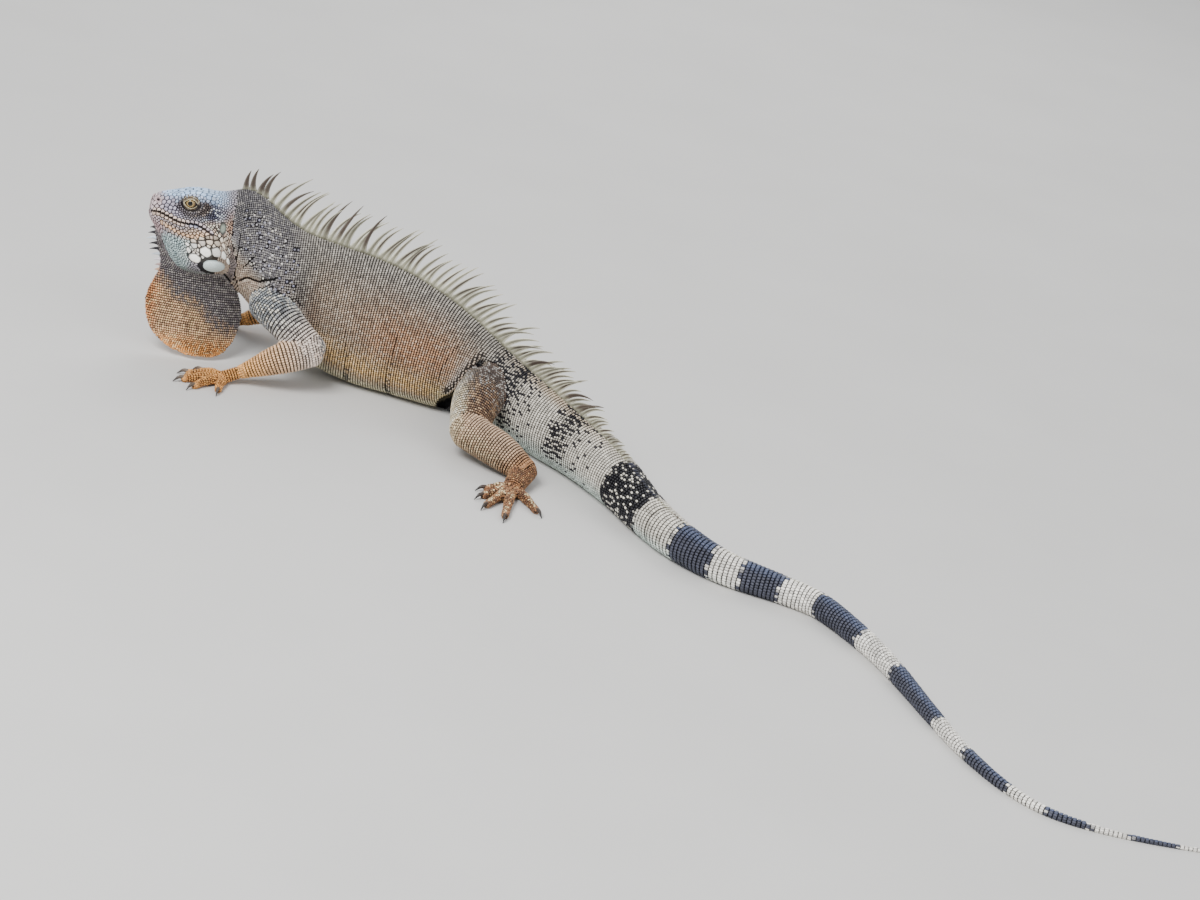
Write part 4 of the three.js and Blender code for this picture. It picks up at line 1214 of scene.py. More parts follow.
def body_coats():
    """The scales of the trunk and the tail, ring by ring. None stand in the deep crease of the
    groin, whose skin keeps their colours with the groin's painted shade, and those of the tail's bands are
    narrower."""
    pitch = through([-197, -120, 0, 100, 140], [2.3, 2.7, 3.0, 3.0, 3.0])
    trunk = covering(
        body_surface, -197, 120, pitch, same(2.4), 1.2, body_markings, same(0.9), 1.0
    )
    painted.append((trunk["root"], trunk["marking"]))
    depth = depth_of(trunk["turn"])
    bare = GROIN_REACH * window(depth, 0.3, 1.1, 0.03)
    trunk = chosen(trunk, np.abs(past(GROIN, trunk["place"], depth)) > bare)
    lengths_of_coat(
        trunk, "body_skin", GRAIN, (0.385, 0.52),
        (("neck", -200, -78), ("flank", -78, 22), ("hip", 22, 121)),
    )
    width = through([120, 250, 400, 1128], [2.1, 2.4, 2.9, 2.9])
    tail = covering(
        body_surface, 120, TAIL_END - 2,
        through([120, 200, 300, 400, 800, 1128], [2.7, 3.1, 3.6, 4.1, 4.2, 3.6]),
        lambda at, turn: np.minimum(width(at), 0.75 * TRUNK["half"](at)) + 0 * turn,
        1.2, body_markings, lambda at: np.minimum(1.0, 0.3 * TRUNK["half"](at)), 1.0,
    )
    at = tail["place"]
    banded = np.maximum(window(at, 213, 243, 5), window(at, 309, 370, 3))
    tail["room"] *= np.stack([np.interp(at, [120, 330, 460], [0.84, 0.88, 1]), 1 - 0.2 * banded], -1)
    lengths_of_coat(
        tail, "tail_skin", WHORL, (0.465, 0.48), (("tail_base", 119, 380), ("tail_end", 380, TAIL_END))
    )


# ---------------------------------------------------------------- the head
# Lines and plates of the left side: at, height before the head rolls, and size of the plates.
JAW_ROW = [(-258, 131), (-249, 128), (-240, 125), (-231, 123.5), (-222, 124.5), (-214, 127.5)]
BROW = [(-246, 152.5), (-241, 157.5), (-234, 161.8), (-226, 163.2), (-218, 161.5), (-212, 158.5)]
CHEEK_PLATES = [
    (-218.8, 103.4, 12.6), (-209, 111.8, 11), (-199.2, 114.4, 9.6), (-191, 112.2, 7.4),
    (-186.2, 106.8, 6), (-226, 109.8, 5.4), (-221.4, 115.2, 6.2), (-214.4, 119.4, 6.4),
    (-206.8, 121.6, 6), (-199.6, 122, 5.8), (-192.8, 120.4, 5.4), (-187, 117.2, 5),
    (-228.6, 115.4, 4.6), (-222.8, 120, 4.8), (-216, 124.2, 5), (-209, 126.6, 4.8),
    (-202.2, 127.2, 4.8), (-195.6, 126.2, 4.4), (-190, 123.8, 4.2),
]
EDGE, FREE, UPPER_LIP, LOWER_LIP, JAW, CHEEK, RIDGE = range(-1, 6)  # kinds of plate
# Places left free for the lids, the nostril, the ear drum and the shield: at, height, reaches
# and a margin.
CLEARINGS = [
    (EYE_AT, EYE_HEIGHT, 10.0, 8.1, 0), (*NOSTRIL, 1.9, 1.6, 0), (*EAR_DRUM, 3.4, 6.2, 0),
    (*SHIELD, 13.8, 9.7, 2.6),
]
PLATE_SIDES = 12
PLATE_AREA = 0.88  # share of its size squared that a plate takes up
LOWEST_TURN = 0.95 * np.pi  # no plates stand lower under the chin
SEEDS_DRAWN, SPREAD_ROUNDS = 60000, 45


def relief(at, height):
    """How far the head's skin stands out of its plain sections: a ridge of bells along the brow,
    and two hollows before and behind the eye."""
    ridge = sum(bump(np.hypot(at - a, height - h), 0, 4.2) for a, h in BROW)
    hollow = bump(np.hypot(at + 245, height - 148), 0, 6)
    hollow = hollow + 0.8 * bump(np.hypot(at + 211, height - 151), 0, 8)
    return 0.7 * np.minimum(ridge, 1.4) - 1.1 * hollow


def head_surface(at, turn, out=0.0):
    """The body's surface with the head's relief, pushed out mm further."""
    return body_surface(at, turn, out + relief(at, level_section(at, turn % TAU)[1]))


HEAD_AT, HEAD_TURN = np.linspace(-268.9, -174, 150), np.linspace(0, np.pi, 150)
head_points = body_surface(HEAD_AT[:, None], HEAD_TURN)
HEAD_STRETCH = np.stack([
    np.linalg.norm(np.gradient(head_points, HEAD_AT, axis=0), axis=-1),
    np.linalg.norm(np.gradient(head_points, HEAD_TURN, axis=1), axis=-1),
], -1)
HEAD_HEIGHT = level_section(*np.broadcast_arrays(HEAD_AT[:, None], HEAD_TURN))[1]


def measured(at, turn):
    """At places of the head: how many mm a step of at and of turn is, and the height."""
    turn = np.abs(turn)
    return (between(table, HEAD_AT, HEAD_TURN, at, turn) for table in (HEAD_STRETCH, HEAD_HEIGHT))


def plate_size(at, h):
    """The spacing of the head's plates: wide on the crown and snout, fine round the eye, on the
    temple and on the front of the jowl."""
    size = 2.7
    for other, share in (
        (6.4, ease(h, 156, 162) * (1 - ease(at, -216, -200))),
        (4.8, (1 - ease(at, -247, -239)) * ease(h, 140, 144)),
        (4.0, window(h, 120, 131, 3) * window(at, -256, -216, 3)),
        (3.7, bump(at, -205, 12) * bump(h, 124, 7)),
        (2.3, window(at, -256, -227, 3) * (1 - ease(h, 110, 119))),
        (2.4, 1 - ease(h, 89, 95)),
        (2.5, ease(at, -193, -186) * (1 - bump(h, 110, 8))),
        (2.5, bump(np.hypot((at - EYE_AT) / 1.2, h - EYE_HEIGHT), 8, 4.5) * (1 - ease(h, 160, 164))),
    ):
        size = mix(size, other, share)
    return size


def spaced_along(line, gap, up):
    """Places every gap mm along a line of the head, moved up by up mm."""
    points, _ = threaded(line)
    reach = np.concatenate([[0], np.cumsum(np.linalg.norm(np.diff(points, axis=0), axis=1))])
    at = np.arange(gap / 2, reach[-1], gap)
    return np.stack([np.interp(at, reach, points[:, 0]), np.interp(at, reach, points[:, 1]) + up], 1)


def pinned_plates():
    """The plates whose places are given, and a ring inside each clearing: at, turn, size, kind."""
    cheek = np.array(CHEEK_PLATES)
    sets = [
        (spaced_along(MOUTH, 4.3, 2.3), 4.3, UPPER_LIP), (spaced_along(MOUTH, 4.3, -2.3), 4.3, LOWER_LIP),
        (spaced_along(JAW_ROW, 4.6, 0), 4.4, JAW), (spaced_along(BROW, 3.7, 0), 3.7, RIDGE),
        (cheek[:, :2], cheek[:, 2], CHEEK),
    ]
    for at, height, wide, high, margin in CLEARINGS:
        gap = plate_size(at, height) * (1.0 if margin else 0.5)
        angle = turns(max(int(TAU * (wide + high) / 2 / 2.2), 6))
        ring = [at + np.cos(angle) * (wide - gap / 2), height + np.sin(angle) * (high - gap / 2)]
        sets.append((np.stack(ring, 1), gap, EDGE))
    places = np.concatenate([spots for spots, _, _ in sets])
    size, kind = (np.concatenate([np.broadcast_to(s[i], len(s[0])) for s in sets]) for i in (1, 2))
    return places[:, 0], turn_at(*places.T), size, kind


def head_seeds():
    """The left side's plates: the pinned ones, and free ones, drawn at random as densely as their
    sizes ask and spread by pushing too close neighbours apart. Gives at, turn, size and kind."""
    at, turn, size, kind = pinned_plates()
    span = HEAD_AT[-1] - HEAD_AT[0], LOWEST_TURN
    spot = random.random((SEEDS_DRAWN, 2)) * span + [HEAD_AT[0], 0]
    stretch, height = measured(*spot.T)
    weight = stretch.prod(-1) / plate_size(spot[:, 0], height) ** 2
    many = int(weight.mean() * span[0] * span[1] / PLATE_AREA) - len(at)
    drawn = spot[random.choice(len(spot), many, replace=False, p=weight / weight.sum())]
    at, turn = np.append(at, drawn[:, 0]), np.append(turn, drawn[:, 1])
    size, kind = np.append(size, np.zeros(many)), np.append(kind, np.full(many, FREE))
    free = kind == FREE
    for _ in range(SPREAD_ROUNDS):
        stretch, height = measured(at, turn)
        size = np.where(free, plate_size(at, height), size)
        dx = (at[:, None] - at) * (stretch[:, None, 0] + stretch[:, 0]) / 2
        dy = (turn[:, None] - turn) * (stretch[:, None, 1] + stretch[:, 1]) / 2
        row = (window(at, -250, -184, 5) * window(height, 92, 140, 5))[:, None]
        gap = np.hypot(dx / (1 + 0.3 * row), dy * (1 + 0.35 * row)) + 1e-3
        reach = 0.6 * (size[:, None] + size)
        push = np.clip(1 - gap / reach, 0, None) * reach / gap * 0.3
        np.fill_diagonal(push, 0)
        at = at + free * (push * dx).sum(1) / stretch[:, 0]
        turn = turn + free * (push * dy).sum(1) / stretch[:, 1]
        at = np.clip(at, HEAD_AT[0] + 0.4, HEAD_AT[-1])
        edge = 0.5 * size / np.maximum(stretch[:, 1], 2)
        turn = np.where(free, np.clip(turn, np.minimum(edge, 0.6), LOWEST_TURN), turn)
    _, height = measured(at, turn)
    lips = threaded(MOUTH)[0][::4]
    inside = np.hypot(at[:, None] - lips[:, 0], height[:, None] - lips[:, 1]).min(1) < 2.4
    for a, h, wide, high, margin in CLEARINGS:
        inside |= np.hypot((at - a) / (wide + margin), (height - h) / (high + margin)) < 1
    cheek = kind == CHEEK
    inside |= (gap[:, cheek] < 0.47 * (size[:, None] + size[cheek])).any(1)
    keep = ~(free & inside) & (at < -188 + 10 * ease(-height, -132, -104))
    return at[keep], turn[keep], size[keep], kind[keep]


def head_markings(at, h, kind, dice):
    """The head's colours by place: pale blue crown, pink snout, dark brow and temple, peach jaw
    row, cream and white cheek, blue-green jowl."""
    d0, d1, d2 = dice.T
    crown = ease(h, 154 + 4 * bump(at, -229, 12), 161) * (1 - ease(at, -206, -190))
    temple = bump(at, -208, 12) * bump(h, 150, 12)
    band = bump(np.hypot((at + 229) / 1.25, h - 155), 11, 3.4) * (1 - crown)
    band = band + 0.9 * bump(at, -216, 6) * bump(h, 153, 6)
    cheek = ease(at, -236, -224) * window(h, 108, 141 + 0.3 * (at + 205), 4)
    mixed = cheek * ease(at, -222, -214) * window(h, 118, 142, 5)
    jowl = (1 - ease(at, -229, -220)) * (1 - ease(h, 117, 123)) * ease(at, -262, -252)
    jaw = bump(h - np.interp(at, *np.array(JAW_ROW).T), 0, 4) * (1 - ease(at, -214, -206))
    return washed(
        "a39ea6",
        ("b7b0c2", window(at, -262, -236, 5) * ease(h, 137, 143)),
        ("b4cfee", crown),
        ("9cbbe2", crown * (d0 < 0.3) * 0.5),
        ("cdb9ba", (1 - ease(at, -262, -255)) * (1 - 0.6 * crown) * 0.85),
        ("2e3148", temple * 1.1),
        ("dde3ee", temple * (d1 < 0.38)),
        ("453a36", band * 0.85),
        ("9c8f86", band * (d2 < 0.2) * 0.6),
        ("dcbfa6", cheek * 0.8),
        ("e6dccb", mixed * (d0 < 0.42)),
        ("2b272b", mixed * (d0 > 0.74) * 0.9),
        ("ddcab2", bump(at, -206, 20) * bump(h, 121, 7) * (d1 < 0.8) * 0.8),
        ("e9e5db", bump(at, -206, 19) * bump(h, 110, 8)),
        ("c4dada", jowl * 0.9),
        ("90a6a8", jowl * (d2 < 0.3) * 0.7),
        ("e8eee8", jowl * bump(h, 108, 9) * ease(at, -238, -226) * 0.7),
        ("798078", (1 - ease(h, 84, 95)) * 0.8),
        ("b89a9c", (1 - ease(at, -258, -250)) * (1 - ease(h, 126, 134)) * 0.9),
        ("7d706c", ease(at, -191, -183) * 0.9),
        ("a9826a", bump(at, -189, 5) * bump(h, 142, 12) * 0.8),
        ("dec8bc", (kind == UPPER_LIP) * 0.95),
        ("cabfcc", (kind == UPPER_LIP) * ease(at, -236, -226) * 0.6),
        ("dcc2b0", (kind == LOWER_LIP) * 0.95),
        ("aeb1ca", (kind == LOWER_LIP) * bump(at, -224, 8) * 0.9),
        ("dcb898", jaw * ease(at, -258, -252) * (kind < CHEEK) * 0.75),
        ("e2b68e", (kind == JAW) * 0.8),
        ("eeebe3", (kind == CHEEK) * ease(-h, -121, -114)),
        ("a9b3c9", (kind == RIDGE) * 0.8),
    )


def plate_outlines(at, turn, size, kind, ray):
    """How far each plate reaches along each ray: to the nearest of the lines halfway to its
    neighbours, shared by size, less a gap. Near the crown the right side's are neighbours too."""
    near = turn < 0.9
    other_at, other_turn = np.append(at, at[near]), np.append(turn, -turn[near])
    other_size = np.append(size, size[near])
    (stretch, height), (other_stretch, _) = measured(at, turn), measured(other_at, other_turn)
    reach = np.empty((len(at), PLATE_SIDES))
    for block in np.array_split(np.arange(len(at)), 8):
        scale = (stretch[block, None] + other_stretch) / 2
        dx = (other_at - at[block, None]) * scale[..., 0]
        dy = (other_turn - turn[block, None]) * scale[..., 1]
        square = dx**2 + dy**2
        share = size[block, None] / (size[block, None] + other_size)
        towards = dx[..., None] * ray[0] + dy[..., None] * ray[1]
        cut = (square * share)[..., None] / np.maximum(towards, 1e-4)
        cut[(towards < 1e-3) | (square < 1e-6)[..., None]] = 99
        reach[block] = cut.min(1)
    smooth = ease(height, 153, 160) * (1 - ease(at, -206, -192))
    gap = np.where(kind == CHEEK, 0.46, 0.33 - 0.17 * smooth)[:, None]
    gap = gap + 1.2 * (kind == UPPER_LIP)[:, None] * np.maximum(ray[1], 0) ** 2
    gap = gap + (kind == LOWER_LIP)[:, None] * np.maximum(-ray[1], 0) ** 2
    return np.maximum(np.minimum(reach, 0.78 * size[:, None]) - gap, 0.25)


def head_plates():
    """Plates on both sides of the head: levels of a low dome over each outline, the last of which
    is its peak, with a skirt that reaches into the skin."""
    at, turn, size, kind = head_seeds()
    angle = turns(PLATE_SIDES) + 0.2
    ray = np.stack([np.cos(angle), np.sin(angle)])
    reach = plate_outlines(at, turn, size, kind, ray)
    at, turn, size, kind, reach = (v[kind != EDGE] for v in (at, turn, size, kind, reach))
    stretch, height = measured(at, turn)
    tall = (0.28 + 0.11 * np.minimum(size, 7)) * (1 - 0.5 * ease(height, 156, 162) * (kind != RIDGE))
    levels = [(1, -1.5, 1), (0.97, 0.35, 0.75), (0.74, 0.86, 0.1), (0.38, 1, 0), (0, 1.04, 0)]
    far, rise, rim = np.array(levels).T
    many, rows = len(at), len(levels) - 1
    each = rows * PLATE_SIDES + 1
    a, b = (
        (v[:, None, None] + far[:, None] * (reach * ray[i] / stretch[:, i, None])[:, None])
        for i, v in enumerate((at, turn))
    )
    up = np.where(rise < 0, -1.6, rise * tall[:, None] - 0.35)[..., None] + 0 * a
    a, b, up = (v.reshape(many, -1)[:, :each] for v in (np.maximum(a, NOSE + 0.05), b, up))
    left, right = (peaked_faces(rows, PLATE_SIDES, flip) for flip in (True, False))
    every = np.repeat([left[0], right[0]], many, axis=0) + np.arange(2 * many)[:, None] * each
    points = [head_surface(a, side * b, up) for side in (1, -1)]
    piece = make_object("head_plates", points, every, np.tile(left[1], 2 * many))
    dice = random.random((many, 3))
    marking = np.tile(head_markings(at, height, kind, dice), (2, 1))
    rim = np.tile(np.repeat(rim, PLATE_SIDES)[:each], 2 * many)
    dressed(piece, np.repeat(marking, each, axis=0), rim, np.tile(np.repeat(dice[:, 1], each), 2))
    across = 0.48 * turn / np.pi
    spot = [np.stack([(at - NOSE) / 100, 0.5 + side * across], -1) for side in (1, -1)]
    spot = np.repeat(np.concatenate(spot) * 0.98 + 0.01, each, axis=0)
    shape = np.append(np.tile(ray.T, (rows, 1)), [[0, 0]], axis=0)
    unwrapped(piece, every.ravel(), spot + PATCH * np.tile(shape, (2 * many, 1)))
    root = np.concatenate([head_surface(at, side * turn, -SKIN_DEPTH) for side in (1, -1)])
    covered.append(root)
    painted.append((root, marking))
    finished(piece, "head_skin", SCALE_PAINT)


def snout_scales():
    """A column of plates over the very tip of the snout, above and below the mouth."""
    up = np.array([153.2, 149.6, 145.6, 141.2, 136.2, 132.0])
    back = np.array([1.8, 0.4, 0.1, 0.0, 0.2, 1.6])
    tilt = np.array([0.7, 0.25, 0, 0, -0.2, -0.6])
    root = on_head(NOSE + back, 0.0, up) + [-0.1, 0, 0]
    normal = unit(np.stack([0 * tilt - 1, 0 * tilt, tilt], -1))
    along = unit(np.cross([[0.0, 1, 0]], normal))
    size = np.array([[2.0, 2.6, 0.8]] * 3 + [[2.3, 3.2, 1.0]] * 2 + [[2.0, 2.6, 0.8]])
    patch = np.stack([0 * up + 0.02, (up - 120) / 40], -1)
    marking = np.tile(tint("c3acab"), (len(up), 1))
    coat("snout_plates", "head_skin", PLATE, root, along, normal, size, marking, patch)


# ---------------------------------------------------------------- eyes, lids, ears and shields
BALL_OVER_EYE = 1.15  # the lids' ball is wider than the eye by this
# Rows of scales on the lids: place from the oval to the opening, width of the scales, colour.
LID_ROWS = [
    (0.03, 1.7, "5d524e"), (0.15, 1.6, "3d3431"), (0.27, 1.5, "8a7c6a"), (0.4, 1.4, "cdbf9b"),
    (0.53, 1.3, "5b4c40"), (0.66, 1.25, "3f332c"), (0.8, 1.2, "8f7b5e"), (0.97, 1.1, "dccfa8"),
]


def eye_paint():
    """A wet eye: a black pupil, a golden-brown iris with dark and pale spokes and a dark rim, and
    brown outside it."""
    reads = {"Spoke X": "spoke_x", "Spoke Y": "spoke_y", "Theta": "theta"}
    group, start, end = node_group(
        "iris", [(label, "NodeSocketFloat") for label in reads], [("Color", "NodeSocketColor")]
    )
    vector = group.nodes.new("ShaderNodeCombineXYZ")
    for i, label in enumerate(reads):
        group.links.new(start.outputs[label], vector.inputs[i])
    ramp = group.nodes.new("ShaderNodeValToRGB")
    group.links.new(noise(group, vector.outputs[0], 9, 4), ramp.inputs["Fac"])
    for stop, place, code in zip(ramp.color_ramp.elements, (0.32, 0.66), ("46321d", "9c8252")):
        stop.position, stop.color = place, (*tint(code), 1)
    iris = ramp.outputs["Color"]
    for low, high, colour in (
        (0.46, 0.37, "b99d66"), (0.35, 0.33, (0.002, 0.002, 0.002)), (0.58, 0.68, "2a1c14"),
        (0.72, 0.78, "6b5240"),
    ):
        share = map_range(group, start.outputs["Theta"], low, high)
        iris = blend_colour(group, share, iris, (*tint(colour), 1))
    group.links.new(iris, end.inputs["Color"])
    wet = {"Roughness": 0.25, "Specular IOR Level": 0.2, "Coat Weight": 0.6, "Coat Roughness": 0.03}
    paint, tree, shader = new_paint("iguana_eye", wet)
    node = placed_group(tree, group, reads)
    tree.links.new(node.outputs["Color"], shader.inputs["Base Color"])
    return paint


EYE_PAINT = eye_paint()


def beside_eye(side, x, y, z):
    """A place from an eye's middle: x rearwards, y up and z outwards."""
    return on_head(EYE_AT + x, EYE_OUT + z, EYE_HEIGHT + y, side)


def eyes():
    """Each eye: a ball with a bulging front, which looks a little forward. Its points know their
    angle from the front and two coordinates round it, which the iris is drawn from."""
    look = unit(np.array([-0.12, 0.05, 1.0]))
    rear = unit(np.cross([0.0, 1, 0], look))
    theta = [[0.004], np.linspace(0.03, 0.75, 22), np.linspace(0.8, np.pi - 0.02, 16)]
    theta, phi = np.concatenate(theta)[:, None, None], turns(48)[:, None]
    spoke = np.cos(phi) * rear + np.sin(phi) * np.cross(look, rear)
    ball = np.sin(theta) * spoke + np.cos(theta) * look
    ball = ball * EYE_RADIUS * (1 + 0.05 * bump(theta, 0, 0.5))
    extra = (theta, np.cos(phi) / 2 + 0.5, np.sin(phi) / 2 + 0.5)
    extra = [np.broadcast_to(values, (*ball.shape[:2], 1)) for values in extra]
    for side_name, side in SIDES.items():
        placed = beside_eye(side, *np.moveaxis(ball, -1, 0))
        points, corners, sizes = shells([np.concatenate([placed, *extra], -1)])
        piece = make_object(f"eyeball_{side_name}", points[:, :3], corners, sizes)
        for label, values in zip(("theta", "spoke_x", "spoke_y"), points.T[3:]):
            put(piece.data, label, values)
        finished(piece, "eye", EYE_PAINT, f"eye_{side_name}")


def head_width(at, height):
    """How far the head reaches outwards at a height near the eye, read off its sections."""
    stations, levels = np.linspace(-245, -216, 30), np.linspace(140, 170, 40)
    around = np.linspace(0, np.pi, 120)
    sections = zip(*level_section(*np.broadcast_arrays(stations[:, None], around)))
    table = np.array([np.interp(-levels, -up, out) for out, up in sections])
    return between(table, stations, levels, at, height)


def lid_surface(side):
    """The lids as one ring of skin: from an oval on the head, over a ball a little wider than the
    eye, to an almond opening, where it turns in to meet the eye."""
    oval, almond = (10.8, 8.8), (5.7, 4.6)

    def surface(s, phi, out=0.0):
        """A place s from the oval to the opening and phi round them, out mm further out."""
        s, phi = np.broadcast_arrays(np.asarray(s, float), np.asarray(phi, float))
        t = np.clip(s, 0, 1)
        corner = 1 + 0.14 * np.abs(np.cos(phi)) ** 8
        lift = 1 - 0.12 * (np.sin(phi) < 0)
        x = mix(oval[0], almond[0] * corner, t) * np.cos(phi)
        y = mix(oval[1], almond[1] * lift * (1 - 0.12 * np.cos(phi) ** 2), t) * np.sin(phi)
        at, height = EYE_AT + x, EYE_HEIGHT + y
        base = head_width(at, height) + relief(at, height) - 0.25 - EYE_OUT
        ball = EYE_RADIUS + BALL_OVER_EYE - 0.9 * np.clip(s - 1, 0, 1) + out
        domed = np.sqrt(np.maximum(ball**2 - x**2 - y**2, 0))
        crease = -0.45 * bump(t, 0.36, 0.08)
        z = np.maximum(mix(base + out, domed, ease(t, 0.0, 0.45)), base - 0.2 + out) + crease
        return beside_eye(side, x, y, z)

    return surface


def framed(surface, place, turn):
    """Roots and lie of scales straight on a surface, from neighbours on all four sides."""
    near = 0.03
    along = unit(surface(place + near, turn) - surface(place - near, turn))
    across = surface(place, turn + near) - surface(place, turn - near)
    return surface(place, turn), along, unit(np.cross(across, along))


def lids():
    """Lids of soft skin with rings of fine scales, the innermost one a pale margin."""
    for side_name, side in SIDES.items():
        surface = lid_surface(side)
        s = np.append(np.linspace(0, 1, 30), [1.25, 1.5])[:, None]
        flesh = np.concatenate([surface(s, turns(72)), surface(s[::-1], turns(72), -0.55)])
        piece = dressed(hoop(f"lids_{side_name}", flesh), tint("5a4e48"), 0.4, 0.0)
        finished(piece, "head_skin", SCALE_PAINT)
        rings = [surface(place, turns(90)) for place, _, _ in LID_ROWS]
        length = [np.linalg.norm(np.diff(ring, axis=0), axis=1).sum() for ring in rings]
        count = [int(far / wide) for far, (_, wide, _) in zip(length, LID_ROWS)]
        angle = [(np.arange(n) + 0.5 * (k % 2)) / n * TAU for k, n in enumerate(count)]
        angle = np.concatenate(angle)
        place, room = (np.repeat([row[i] for row in LID_ROWS], count) for i in (0, 1))
        root, along, normal = framed(surface, place, angle)
        outward = (normal * (root - beside_eye(side, 0, 0, 0))).sum(-1, keepdims=True)
        colour = np.repeat([tint(code) for _, _, code in LID_ROWS], count, axis=0)
        colour = washed(colour, (BONE, (random.random(len(place)) < 0.15) * 0.4))
        size = np.stack([0 * room + 0.5, room * 0.5, 0 * room + 0.36], -1)
        patch = np.stack([0.3 + 0.3 * place, angle / TAU], -1) * 0.98 + 0.01
        normal = normal * np.sign(outward)
        name = f"lid_scales_{side_name}"
        coat(name, "head_skin", GRAIN, root, along, normal, size, colour, patch)


def beside_head(side, at, height, out):
    """Places on one side of the head by their height, out mm outside its sections."""
    turn = turn_at(at.ravel(), height.ravel()).reshape(at.shape)
    return body_surface(at, side * turn, out)


def shields():
    """The big smooth plate under each ear: an oval dome, a little pinched towards its rim."""
    s = np.append([1.0, 1.0], np.linspace(1, 0.02, 26) ** 0.8)
    high = np.append([-2.0, 0.0], 1.9 * np.sqrt(np.clip(1 - s[2:] ** 2.4, 0, 1)) ** 0.9)
    phi = turns(64)
    at = SHIELD[0] + np.outer(s, 10.75 * power(np.cos(phi), 0.92))
    height = SHIELD[1] + np.outer(s, 6.5 * power(np.sin(phi), 0.92))
    rim = np.repeat(0.55 * np.clip((s - 0.86) / 0.14, 0, 1), len(phi))
    for side_name, side in SIDES.items():
        grid = beside_head(side, at, height, high[:, None] - 0.2)
        piece = dressed(make_object(f"cheek_{side_name}", *shells([grid])), tint("c4d0cf"), rim)
        finished(piece, "cheek_shield", SHIELD_PAINT, f"shield_{side_name}")


def ears_and_nostrils():
    """Ear drums set a little into the head, painted darker towards their rims as shade of the recess, and a
    raised ring round each nostril, painted dark on its inner side as shade of the opening.
    """
    phi, tube = turns(40), turns(12)
    s = np.append([1.0], np.linspace(1, 0.03, 14))
    high = np.append([-2.6], -0.3 - 0.85 * (1 - s[1:] ** 2))[:, None]
    drum_at = EAR_DRUM[0] + np.outer(s, 4.2 * np.cos(phi))
    drum_height = EAR_DRUM[1] + np.outer(s, 7.0 * np.sin(phi))
    # painted shade: the drum darkens from its middle towards its rim, as if in its recess's shadow
    shade = washed("858d80", ("2c2825", np.repeat(ease(s, 0.3, 0.85), len(phi))))
    wide, out = 2.1 + 0.95 * np.cos(tube)[:, None], 0.95 * np.sin(tube)[:, None]
    # painted shade: the ring's inner side, towards the nostril's opening, takes the dark gap colour
    rim = np.repeat(0.6 * (np.cos(tube) < -0.2), len(phi))
    for side_name, side in SIDES.items():
        drum = beside_head(side, drum_at, drum_height, high)
        covered.append(drum[::2, ::2].reshape(-1, 3))
        piece = dressed(make_object(f"ear_drum_{side_name}", *shells([drum])), shade)
        finished(piece, "head_skin", SCALE_PAINT)
        at, height = NOSTRIL[0] + 1.15 * wide * np.cos(phi), NOSTRIL[1] + wide * np.sin(phi)
        ring = hoop(f"nostril_{side_name}", beside_head(side, at, height, out))
        finished(dressed(ring, tint("b9a3a4"), rim), "head_skin", SCALE_PAINT)


# ---------------------------------------------------------------- blades and horn
def blades(root, ahead, rise, length, chord, thick, lean, curl, flare, rows=12, sides=10):
    """Curved blades, each from a root in the plane of two directions. The direction along a blade
    starts from rise and leans ahead by lean + curl (t - 0.45) radians; its chord and thickness
    shrink as powers of 1 - t, and flare widens its foot by a bell. Gives the rings of each."""
    t = np.linspace(0, 1, rows)
    angle = lean[:, None] + curl[:, None] * (t - 0.45)
    mean = (angle[:, 1:] + angle[:, :-1]) / 2
    zero = np.zeros((len(root), 1))
    u = np.concatenate([zero, np.cumsum(np.sin(mean), 1)], 1) * length[:, None] / (rows - 1)
    v = np.concatenate([zero, np.cumsum(np.cos(mean), 1)], 1) * length[:, None] / (rows - 1)
    left = 1.03 - t
    half = chord[:, None] / 2 * left**0.8 + flare[:, None] * bump(t, 0, 0.1)
    flat = thick[:, None] / 2 * left**0.7
    a = turns(sides)
    x = u[..., None] + np.cos(angle)[..., None] * np.cos(a) * half[..., None]
    y = v[..., None] - np.sin(angle)[..., None] * np.cos(a) * half[..., None]
    z = np.sin(a) * flat[..., None]
    across = np.cross(ahead, rise)
    return (
        root[:, None, None] + ahead[:, None, None] * x[..., None]
        + rise[:, None, None] * y[..., None] + across[:, None, None] * z[..., None]
    )


def bladed(name, grid, marking, rim, slot, paint, *nodes):
    """One piece from blades. Their markings and rims may differ from point to point."""
    shape = (*grid.shape[:3], 1)
    dice = random.random((shape[0], 1, 1, 1))
    values = [grid, np.broadcast_to(marking, grid.shape)]
    values += [np.broadcast_to(v, shape) for v in (np.expand_dims(rim, -1), dice)]
    points, corners, sizes = shells(list(np.concatenate(values, -1)))
    piece = make_object(name, points[:, :3], corners, sizes)
    dressed(piece, points[:, 3:6], points[:, 6], points[:, 7])
    finished(piece, slot, paint, *nodes)


